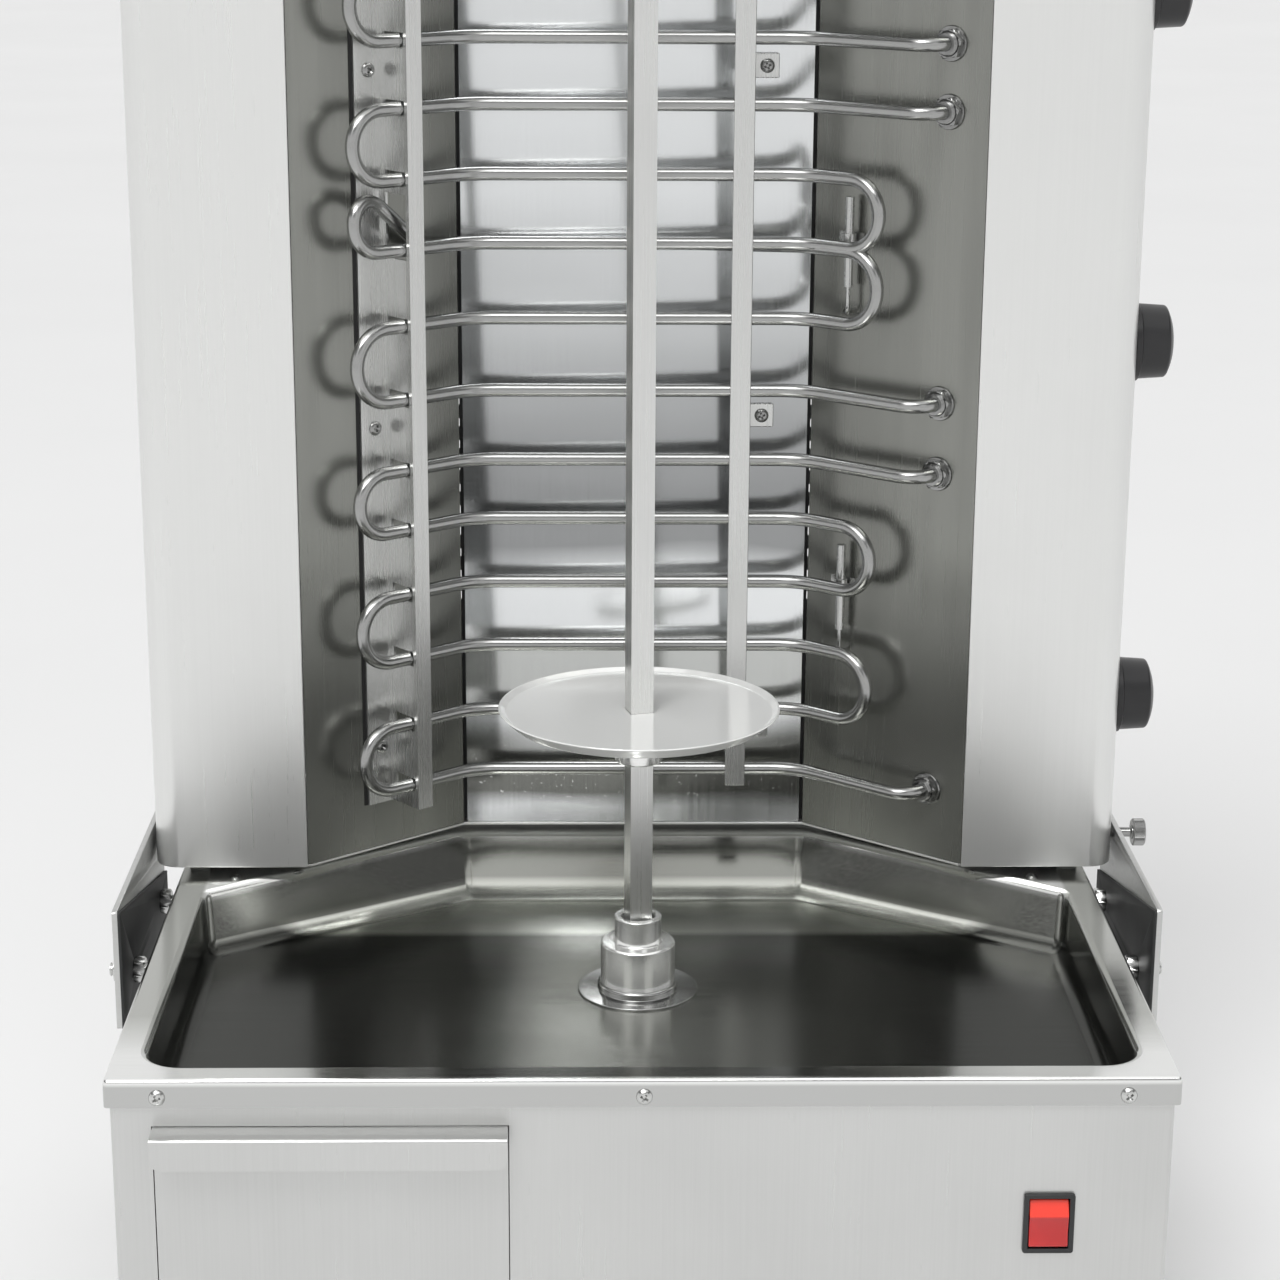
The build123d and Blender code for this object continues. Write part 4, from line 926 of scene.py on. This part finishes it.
def curled_route(heights):
    """As plain_route, but the third run passes behind the fourth and joins it by a raised curl."""
    z0, z1, z2, z3, z4, z5 = [rim_z + height for height in heights]
    main, back = tube_standoff, hidden_standoff
    points = terminal_points(z0) + [corner_point(main, 1, z0), corner_point(main, -1, z0)]
    points += turn_points(-1, z0, z1) + [corner_point(main, -1, z1), corner_point(main, 1, z1)]
    radii = [tube_bend] + [corner_bend] * 2 + [turn_radius(z0, z1)] * 2 + [corner_bend] * 2
    points += turn_points(1, z1, z2) + [corner_point(main, 1, z2), (hidden_from_x, back_y - back, z2)]
    points.append(corner_point(back, -1, z2))
    radii += [turn_radius(z1, z2)] * 2 + [tube_bend, 2 * tube_bend, tube_bend]
    stations = ((curl_drop, back, z2), (curl_length, (main + back) / 2, z3 + curl_rise - 0.001))
    for length, standoff, z in stations:
        x = left_turn_x - length * cos(side_angle)
        points.append((-x, flank_y(x, standoff), z))
    y = flank_y(left_turn_x, main)
    points += [(-left_turn_x, y, z3 + curl_top), (-left_turn_x, y, z3)]
    radii += [tube_bend, 0.006, curl_bend, curl_top / 2 - 0.001]
    points += [corner_point(main, -1, z3), corner_point(main, 1, z3)] + turn_points(1, z3, z4)
    radii += [corner_bend] * 2 + [turn_radius(z3, z4)] * 2
    points += [corner_point(main, 1, z4), corner_point(main, -1, z4)] + turn_points(-1, z4, z5)
    radii += [corner_bend] * 2 + [turn_radius(z4, z5)] * 2
    points += [corner_point(main, -1, z5), corner_point(main, 1, z5)] + terminal_points(z5)[::-1]
    return points, radii + [corner_bend] * 2 + [tube_bend]


def heating_elements():
    routes = {"lower_element": plain_route(lower_runs), "middle_element": curled_route(middle_runs),
              "upper_element": plain_route(upper_runs)}
    for node, (points, radii) in routes.items():
        path = rounded_path(points, radii)
        piece = Shape().tube(path, tube_radius, 28).piece(node.replace("element", "heating_tube"))
        place_piece(piece, "heater_column", "element_tube", node)


def element_bushes():
    """Washer, nut and threaded bush round each end of the elements."""
    shape = Shape()
    bore = tube_radius + 0.0001
    top = gap + washer_thick
    for heights in (lower_runs, middle_runs, upper_runs):
        for height in (heights[0], heights[-1]):
            x, y = flank_step(terminal_x, 0.0, 0.0, 1)
            place = facing((x, y, rim_z + height), flank_normal(1))
            washer = [(bore, gap), (washer_radius - 0.0002, gap), (washer_radius, gap + 0.0004),
                      (washer_radius - 0.0004, top), (bore, top)]
            shape.lathe(washer, place, 48, ring=True)
            add_nut(shape, place @ Matrix.Translation((0, 0, top)), *outer_nut)
            thread = thread_profile(bush_radius, gap + 0.0008, bush_reach, 0.0009)
            bush = [(r, z) for r, z in thread if r > 0] + [(bore, bush_reach), (bore, gap + 0.0008)]
            shape.lathe(bush, place, 48, ring=True)
            inner = Matrix.Translation((0, 0, -inner_nut_place))
            add_nut(shape, place @ inner, *inner_nut, tube_radius + 0.0012)
    piece = shape.piece("element_bushes", 30)
    place_piece(piece, "heater_column", "fastener_steel", "element_glands", look="bush_steel")


def drive_parts():
    z0, z1 = flange_low.z + hub_foot, hub_high.z
    step = hub_low.z + hub_step
    wide = hub_high.x
    corners = [(0, z0, 0), (wide - 0.0004, z0, 0.0002), (wide, z0 + 0.0004, 0.0002),
               (wide, step - 0.0010, 0.0004), (wide - 0.0010, step, 0.0004),
               (socket_radius + 0.0006, step, 0.0004), (socket_radius, step + 0.0008, 0.0004),
               (socket_radius, z1 - 0.0007, 0.0003), (socket_radius - 0.0007, z1, 0.0003),
               (socket_bore + 0.0008, z1, 0.0003), (socket_bore, z1 - 0.0009, 0.0003),
               (socket_bore, z1 - socket_mouth, 0.0002), (0, z1 - socket_mouth, 0)]
    hub = Shape().lathe(rounded_profile(corners), segments=128).piece("turned_hub", 30)
    carve(hub, [square_cutter("broach", z1 - socket_depth, z1)], 30)
    place_piece(hub, "drive", "turned_steel", "drive_hub")
    bottom, radius = flange_low.z, flange_high.x
    disc, seat, crest = bottom + seal_disc, bottom + hub_foot - 0.0006, bottom + bead_height
    shaft, inner = seal_bore, hub_high.x + gap
    ring = rounded_profile([(shaft, bottom, 0), (radius, bottom, 0.0002), (radius, disc, 0.0004),
                            (bead_radius + 0.0002, disc, 0.0003), (bead_radius + 0.0002, crest, 0.0018),
                            (inner, crest, 0.0001), (inner, seat, 0.0001), (shaft, seat, 0)])
    flange = Shape().lathe(ring, segments=128, ring=True).piece("seal_disc", 30)
    place_piece(flange, "base", "turned_steel", "seal_flange", look="seal_steel")


def square_cutter(name, z0, z1):
    half = spit_side / 2 + gap
    return box_shape((-half, -half, z0), (half, half, z1), spit_turn).piece(name)


def plate_parts():
    z0, z1 = plate_low.z, plate_high.z
    floor = z0 + dish_floor
    inner = plate_radius - plate_wall - 0.0010
    corners = [(0, z0, 0), (plate_radius - dish_run, z0, 0.0030), (plate_radius, z1 - 0.0006, 0.0004),
               (plate_radius - 0.0003, z1, 0.0003), (inner + 0.0006, z1, 0.0003),
               (inner - 0.0022, floor, 0.0022), (0, floor, 0)]
    plate = Shape().lathe(rounded_profile(corners, radians(8)), segments=160).piece("dished_plate")
    carve(plate, [square_cutter("plate_hole", z0 - 0.001, floor + 0.001)])
    place_piece(plate, "plate", "turned_steel", "meat_plate", look="plate_steel")
    radius = collar_high.x
    bottom, top = collar_low.z - collar_reach, collar_high.z
    middle = (bottom + top) / 2
    corners = [(0, bottom, 0), (radius - 0.0009, bottom, 0.0003), (radius, bottom + 0.0009, 0.0003),
               (radius, top, 0), (0, top, 0)]
    collar = Shape().lathe(rounded_profile(corners), segments=96).piece("clamp_collar", 30)
    bore = set_screw_radius + 0.00005
    drill = [(0, 0), (bore, 0), (bore, set_screw_hole), (0, set_screw_hole)]
    hole = Shape().lathe(drill, facing((0, -0.001, middle), (0, -1, 0)), 32).piece("screw_hole")
    carve(collar, [square_cutter("collar_hole", bottom - 0.001, top + 0.001), hole], 30)
    place_piece(collar, "plate", "turned_steel", "plate_collar")
    screw_low, screw_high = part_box("set_screw")
    length = screw_high.y - screw_low.y
    place = facing((0, screw_high.y, middle), (0, -1, 0))
    thread = thread_profile(set_screw_radius, 0, length, *fine_thread)
    rod = Shape().lathe(thread, place, 32).piece("grub_screw")
    key = [(key_radius * cos(pi / 3 * k), key_radius * sin(pi / 3 * k)) for k in range(6)]
    key_place = place @ Matrix.Translation((0, 0, length - key_depth))
    carve(rod, [Shape().prism(key, 0.004, key_place).piece("hex")], 30)
    place_piece(rod, "plate", "fastener_steel", "set_screw")


def knob_piece(name, height):
    """Turned knob with a stepped foot, domed end and an inlaid pointer line."""
    rim = knob_radius - knob_taper
    shoulder = knob_depth - knob_dome
    corners = [(0, 0, 0), (knob_radius - 0.0004, 0, 0.0003), (knob_radius, 0.0004, 0.0003),
               (knob_radius, knob_foot, 0.0003), (knob_radius - 0.0012, knob_foot + 0.0006, 0.0004),
               (rim, shoulder, 0.0020), (rim * 0.72, knob_depth - 0.0018, 0.03),
               (rim * 0.36, knob_depth - 0.0004, 0.03), (0, knob_depth, 0)]
    place = facing((wing_high.x + knob_gap, knob_y, rim_z + height), (1, 0, 0))
    body = Shape().lathe(rounded_profile(corners, radians(5)), place, 96).piece(name + "_grip", 30)
    place_piece(body, name, "knob_black", name.replace("control", "knob"))
    section = ((-mark_half, -mark_depth), (mark_half, -mark_depth), (mark_half, 0), (-mark_half, 0))
    rings = []
    for share in (0.5, 0.6, 0.7, 0.8, 0.9):
        top = knob_depth + 0.00012 - knob_dome * share ** 2 * 0.78
        rings.append([place @ Vector((rim * share, y, top + z)) for y, z in section])
    mark = Shape().stack(rings).piece(name + "_pointer")
    place_piece(mark, name, "knob_black", look="pointer_white")


def lock_piece():
    """Knurled thumb screw."""
    z = (lock_low.z + lock_high.z) / 2
    y = (lock_low.y + lock_high.y) / 2
    radius = (lock_high.z - lock_low.z) / 2
    place = facing((lock_low.x, y, z), (1, 0, 0))
    end = lock_high.x - lock_low.x
    shaft = end - lock_head
    outer = arm_high.x - lock_low.x
    shape = Shape().lathe(thread_profile(lock_thread, 0.0, outer + 0.002, *fine_thread), place, 40)
    neck = [(0, outer + 0.001, 0), (lock_thread, outer + 0.001, 0.0002),
            (lock_thread, shaft - 0.0012, 0.0004), (lock_neck, shaft - 0.0004, 0.0004),
            (lock_neck, shaft + 0.0010, 0), (0, shaft + 0.0010, 0)]
    shape.lathe(rounded_profile(neck), place, 48)
    teeth = 56
    rings = []
    for height, inset in ((shaft, 0.0008), (shaft + 0.0007, 0.0), (end - 0.0007, 0.0), (end, 0.0008)):
        ring = []
        for k in range(teeth * 2):
            angle = pi * k / teeth
            reach = radius - inset - (0.0004 if k % 2 and inset == 0 else 0.0)
            ring.append(place @ polar(reach, angle, height))
        rings.append(ring)
    shape.stack(rings)
    piece = shape.piece("thumb_screw", 25)
    place_piece(piece, "lock", "turned_steel", "lock_screw", look="knurled_steel")


def arm_fasteners():
    """Threaded studs with nuts on both faces of each arm and on the cabinet's side."""
    shape = Shape()
    z = rim_z - arm_bolt_drop
    root = cabinet_high.x - bolt_reach
    length = arm_high.x + bolt_reach - root
    for side in (-1, 1):
        for y in arm_bolt_y:
            place = facing((side * root, y, z), (side, 0, 0), 0.3)
            shape.lathe(thread_profile(bolt_radius, 0.0, length), place, 40)
            for start, turn in ((arm_high.x, 0.35), (arm_low.x - nut_height, 0.9), (cabinet_high.x, 0.1)):
                spot = facing((side * start, y, z), (side, 0, 0), turn)
                add_nut(shape, spot, nut_radius, nut_height, bolt_radius - 0.0003)
    place_piece(shape.piece("arm_studs", 30), "base", "fastener_steel", "arm_bolts")


def screws():
    head = phillips_head(head_radius, head_depth)
    large = phillips_head(head_radius, small_head_depth)
    small = phillips_head(small_head_radius, small_head_depth)
    z = rim_z - tray_screw_drop
    reach = tray_high.x - tray_screw_inset
    spots = [((x, tray_low.y, z), (0, -1, 0), turn) for x, turn in ((-reach, 0.4), (0, 1.1), (reach, 0.7))]
    for side in (-1, 1):
        spots += [((side * tray_high.x, y, z), (side, 0, 0), y * 9) for y in tray_screw_side_y]
    screw_group("tray_screws", "base", head, spots)
    low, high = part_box("rear_screws")
    x = high.x - head_radius
    lift = (high.z - low.z - 2 * head_radius) / (rear_screw_rows - 1)
    heights = [low.z + head_radius + lift * row for row in range(rear_screw_rows)]
    spots = []
    for side in (-1, 1):
        spots += [((side * x, low.y, z), (0, 1, 0), row * 0.8) for row, z in enumerate(heights)]
    screw_group("rear_screws", "heater_column", head, spots)
    low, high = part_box("bottom_screws")
    front = (high.x - small_head_radius, low.y + small_head_radius, 0.5)
    rear = (mouth_half + small_head_radius + gap, high.y - small_head_radius, 0.9)
    spots = [((side * x, y, high.z), (0, 0, -1), turn) for side in (-1, 1) for x, y, turn in (front, rear)]
    screw_group("bottom_screws", "heater_column", small, spots)
    left = flank_step((left_holder_outer_x + left_holder_inner_x) / 2, 0.0, gap + holder_sheet, -1)
    right = (right_tab_x, back_y - gap - right_bar_thick)
    spots = [((*left, rim_z + height), flank_normal(-1), height * 20) for height in holder_screw_heights]
    spots += [((*right, rim_z + height), (0, -1, 0), height * 31) for height in holder_screw_heights]
    screw_group("holder_screws", "heater_column", large, spots, "bush_steel")


def top_bolts():
    low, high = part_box("top_arm_bolts")
    shape = Shape()
    radius = top_bolt_radius
    height = high.z - low.z
    thread = thread_profile(top_bolt_thread, 0.0, height - 0.0002, *fine_thread)
    for x in (low.x + radius, high.x - radius):
        for y in (low.y + radius, high.y - radius):
            place = facing((x, y, low.z), (0, 0, 1), x * 90)
            add_nut(shape, place, radius, height, top_bolt_thread - 0.0001)
            shape.lathe(thread, place, 32)
    piece = shape.piece("top_arm_hex_bolts", 30)
    place_piece(piece, "heater_column", "fastener_steel", "top_arm_bolts")


# Widths of the softened edges
soft_widths = {
    "base_cabinet": 0.0006, "left_wing": 0.0007, "right_wing": 0.0007, "rear_deck": 0.0010,
    "drawer_front": 0.0006, "drawer_box": 0.0005, "back_reflector": 0.0004, "spit_rod": 0.0005,
    "left_holder": 0.0007, "right_holder": 0.0005, "switch_bezel": 0.0005, "switch_rocker": 0.0007,
    "top_arm": 0.0008, "gear_motor": 0.0015, "regulators": 0.0012, "glide_strips": 0.0004,
    "bottom_cover": 0.0004, "terminal_block": 0.0008, "cable_gland": 0.0006,
}


def dress_nodes():
    """Finish, joined corners and softened edges on every carried-over node."""
    special = {"left_holder": "holder_sheet", "right_holder": "holder_sheet",
               "base_cabinet": "cabinet_sheet"}
    for node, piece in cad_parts.items():
        slot = piece.data.materials[0].name.split(".")[0]
        paint(piece, looks[special.get(node, slot)])
        join_corners(piece)
        if node in soft_widths:
            modify(piece, "flat_faces", "DECIMATE", decimate_type="DISSOLVE", angle_limit=radians(0.3))
            soften(piece, soft_widths[node])
            weigh_normals(piece, 90)


def join_corners(piece):
    modify(piece, "joined", "NODES", node_group=joining_group)


def softened_copy(node, name, width):
    """Copy of a node's piece with joined corners and softened edges."""
    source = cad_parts[node]
    piece = bpy.data.objects.new(name, source.data.copy())
    piece.matrix_world = source.matrix_world
    bpy.context.scene.collection.objects.link(piece)
    join_corners(piece)
    soften(piece, width)
    return piece


def back_panel():
    """Flanged mirror panel, narrower than its place, so that the black strip of painted shade behind it
    shows as a dark joint beside each reflector.
    """
    piece = softened_copy("back_reflector", "flanged_panel", 0.0005)
    middle = (panel_low.x + panel_high.x) / 2
    for vertex in piece.data.vertices:
        place = piece.matrix_world @ vertex.co
        if abs(place.x - middle) > panel_high.x - middle - panel_flange:
            place.x -= panel_joint if place.x > middle else -panel_joint
            vertex.co = piece.matrix_world.inverted() @ place
    bake(piece)
    place_piece(piece, "heater_column", "mirror_panel", "back_reflector")


def dark_joints():
    """Painted shade: black strips in place of the shadow in the joints behind each edge of the back panel,
    and along the left holder's flange.
    """
    shape = Shape()
    front, rear = back_y + joint_depth, back_y + joint_depth + 0.0006
    edge = panel_high.x - 0.0001
    for side in (-1, 1):
        x0, x1 = sorted((side * (edge - joint_width), side * edge))
        outline = [(x0, front), (x1, front), (x1, rear), (x0, rear)]
        place = Matrix.Translation((0, 0, panel_low.z + 0.001))
        shape.prism(outline, panel_high.z - panel_low.z - 0.002, place)
    section = ((0.0002, 0.0001), (0.0018, 0.0001), (0.0018, 0.0004), (0.0002, 0.0004))
    slit = [flank_step(left_holder_outer_x + along, 0, out, -1) for along, out in section]
    low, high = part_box("left_holder")
    shape.prism(slit, high.z - low.z, Matrix.Translation((0, 0, low.z)))
    place_piece(shape.piece("shadow_joints"), "heater_column", "reflector_sheet", look="joint_shade_black")


def drawer_face():
    """Drawer front with a folded finger lip: shelf, rounded bend, and a face with rounded lower corners."""
    low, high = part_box("drawer_front")
    x0, x1 = low.x - drawer_close, high.x + drawer_close
    face_y, bottom, top = cabinet_low.y, low.z - drawer_close, high.z + drawer_close
    shape = Shape()
    outline = [(x0, bottom), (x1, bottom), (x1, top), (x0, top)]
    shape.stack([[Vector((x, y, z)) for x, z in outline] for y in (high.y, face_y)])
    inner_y, inner_top, inner_bend = low.y + sheet, top - sheet, lip_bend - sheet
    bend = quarter_bend(6)
    outer = [(low.y + lip_bend * left, top - lip_bend * gone) for left, gone in bend]
    inner = [(inner_y + inner_bend * left, inner_top - inner_bend * gone) for left, gone in bend[::-1]]
    stations = [lip_corner * gone for left, gone in quarter_bend(8)]
    rings = []
    for x, depth in [(x0 + d, d) for d in stations] + [(x1 - d, d) for d in reversed(stations)]:
        reach = lip_corner - min(depth, lip_corner)
        foot = high.z - lip_height + lip_corner - (lip_corner ** 2 - reach ** 2) ** 0.5
        profile = [(face_y, top)] + outer + [(low.y, foot), (inner_y, foot)] + inner + [(face_y, inner_top)]
        rings.append([Vector((x, y, z)) for y, z in profile])
    shape.stack(rings)
    piece = shape.piece("folded_drawer_face", 30)
    soften(piece, 0.00035, 2, 40)
    place_piece(piece, "drawer", "brushed_sheet", "drawer_front", look="cabinet_sheet")


def rocker_piece():
    """Rocker with its upper end pressed in and a raised crest above its middle."""
    low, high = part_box("switch_rocker")
    front, rear = low.y, high.y
    tall = high.z - low.z
    crest = rocker_crest()
    profile = [(front + 0.0034, high.z), (front + 0.0003, crest + 0.0008), (front, crest),
               (front + 0.0004, crest - 0.0010), (front + 0.0013, low.z + tall * 0.30),
               (front + 0.0004, low.z + 0.0010), (front + 0.0009, low.z), (front + 0.0060, low.z),
               (rear, low.z + tall * 0.35), (rear, high.z - tall * 0.35), (front + 0.0060, high.z)]
    shape = Shape().stack([[Vector((x, y, z)) for y, z in profile] for x in (low.x, high.x)])
    piece = shape.piece("red_rocker", 24)
    soften(piece, 0.0005, 3, 24)
    place_piece(piece, "rocker", "rocker_red", "switch_rocker")


def side_arms():
    """Folded arms, with the stiffener welded to the inner face; the inner faces are painted near-black as
    painted shade.
    """
    for node in ("left_arm", "right_arm"):
        piece = softened_copy(node, node + "_sheet", 0.0004)
        bake(piece)
        paint(piece, looks["arm_sheet"])
        piece.data.materials.append(looks["arm_stiffener"].material)
        for face in piece.data.polygons:
            centre = piece.matrix_world @ face.center
            # Painted shade: faces on the inner side get the near-black finish.
            face.material_index = 1 if abs(centre.x) < arm_low.x + gusset_thick - 0.0001 else 0
        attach(piece, "base")
        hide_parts(node)


# Studio
def studio_floor():
    finish = Finish("floor_grey")
    tone = finish.rise(finish.noise(1.2, 3.0), 0.3, 0.7)
    finish.put({"Base Color": finish.mix(tone, grey(0.79), grey(0.81)), "Roughness": 0.9,
                "Specular IOR Level": 0.2})
    half = 40.0
    corners = [(-half, -half, 0), (half, -half, 0), (half, half, 0), (-half, half, 0)]
    piece = Shape().add(corners, [(0, 1, 2, 3)]).piece("studio_floor")
    paint(piece, finish)


def studio_world():
    """Pale room: bright up to the lit wall's top, dim above but for two panels, bright overhead."""
    world = bpy.data.worlds.new("studio_room")
    bpy.context.scene.world = world
    world.use_nodes = True
    room = Nodes(world.node_tree, "Generated")

    def step(value, low, high):
        return room.ramp(value, low, high, 0.0, 1.0, interpolation_type="SMOOTHSTEP")

    def rest(share):
        return room.math("SUBTRACT", 1.0, share)

    def band(value, low, high, soft):
        return room.times(step(value, low - soft, low + soft), rest(step(value, high - soft, high + soft)))

    def blend(share, under, over):
        return room.add(room.times(under, rest(share)), room.times(share, over))

    up = room.axis(2)
    side = room.math("ABSOLUTE", room.math("ARCTAN2", room.axis(0), room.times(room.axis(1), -1.0)))
    level = blend(step(up, *room_wall_foot), room_horizon, room_wall)
    level = blend(step(up, *room_ceiling_edge), level, room_ceiling)
    dim = room.times(band(up, *room_dim_heights), rest(step(side, *room_dim_rear)))
    level = blend(dim, level, room_dim)
    panels = room.times(band(up, *room_panel_heights), band(side, *room_panel_sides))
    level = blend(panels, level, room_panel)
    background = room.tree.nodes["Background"].inputs
    room.feed(background["Strength"], level)
    room.feed(background["Color"], (1, 1, 1, 1))


def soft_lamp(name, place, target, size, power):
    lamp = bpy.data.lights.new(name, "AREA")
    lamp.shape = "RECTANGLE"
    lamp.size, lamp.size_y = size
    lamp.energy = power
    holder = bpy.data.objects.new(name, lamp)
    holder.location = place
    aim = Vector(target) - Vector(place)
    holder.rotation_euler = aim.to_track_quat("-Z", "Y").to_euler()
    holder.visible_camera = False
    bpy.context.scene.collection.objects.link(holder)


def studio_lights():
    sun = bpy.data.lights.new("broad_sun", "SUN")
    sun.energy = 1.05
    sun.angle = radians(26)
    holder = bpy.data.objects.new("broad_sun", sun)
    holder.rotation_euler = (radians(34), radians(-16), 0)
    bpy.context.scene.collection.objects.link(holder)
    soft_lamp("front_box", (-0.35, -1.25, 2.45), (0, 0, 0.5), (2.0, 0.7), 12)


def studio_camera():
    data = bpy.data.cameras.new("view")
    data.lens = camera_lens
    data.sensor_width = 36.0
    data.clip_end = 200.0
    camera = bpy.data.objects.new("view", data)
    turn = Matrix.Rotation(-camera_right, 4, "Z") @ Matrix.Rotation(pi / 2 - camera_down, 4, "X")
    camera.matrix_world = Matrix.Translation(camera_place) @ turn @ Matrix.Rotation(camera_roll, 4, "Z")
    bpy.context.scene.collection.objects.link(camera)
    bpy.context.scene.camera = camera


def build():
    dress_nodes()
    side_arms()
    back_panel()
    dark_joints()
    drawer_face()
    rocker_piece()
    drip_tray()
    heating_elements()
    element_bushes()
    drive_parts()
    plate_parts()
    for name, height in zip(("lower_control", "middle_control", "upper_control"), knob_heights):
        knob_piece(name, height)
    lock_piece()
    arm_fasteners()
    screws()
    top_bolts()
    studio_floor()
    studio_world()
    studio_lights()
    studio_camera()
    bpy.context.scene.view_settings.view_transform = "Standard"


build()
bpy.context.view_layer.update()
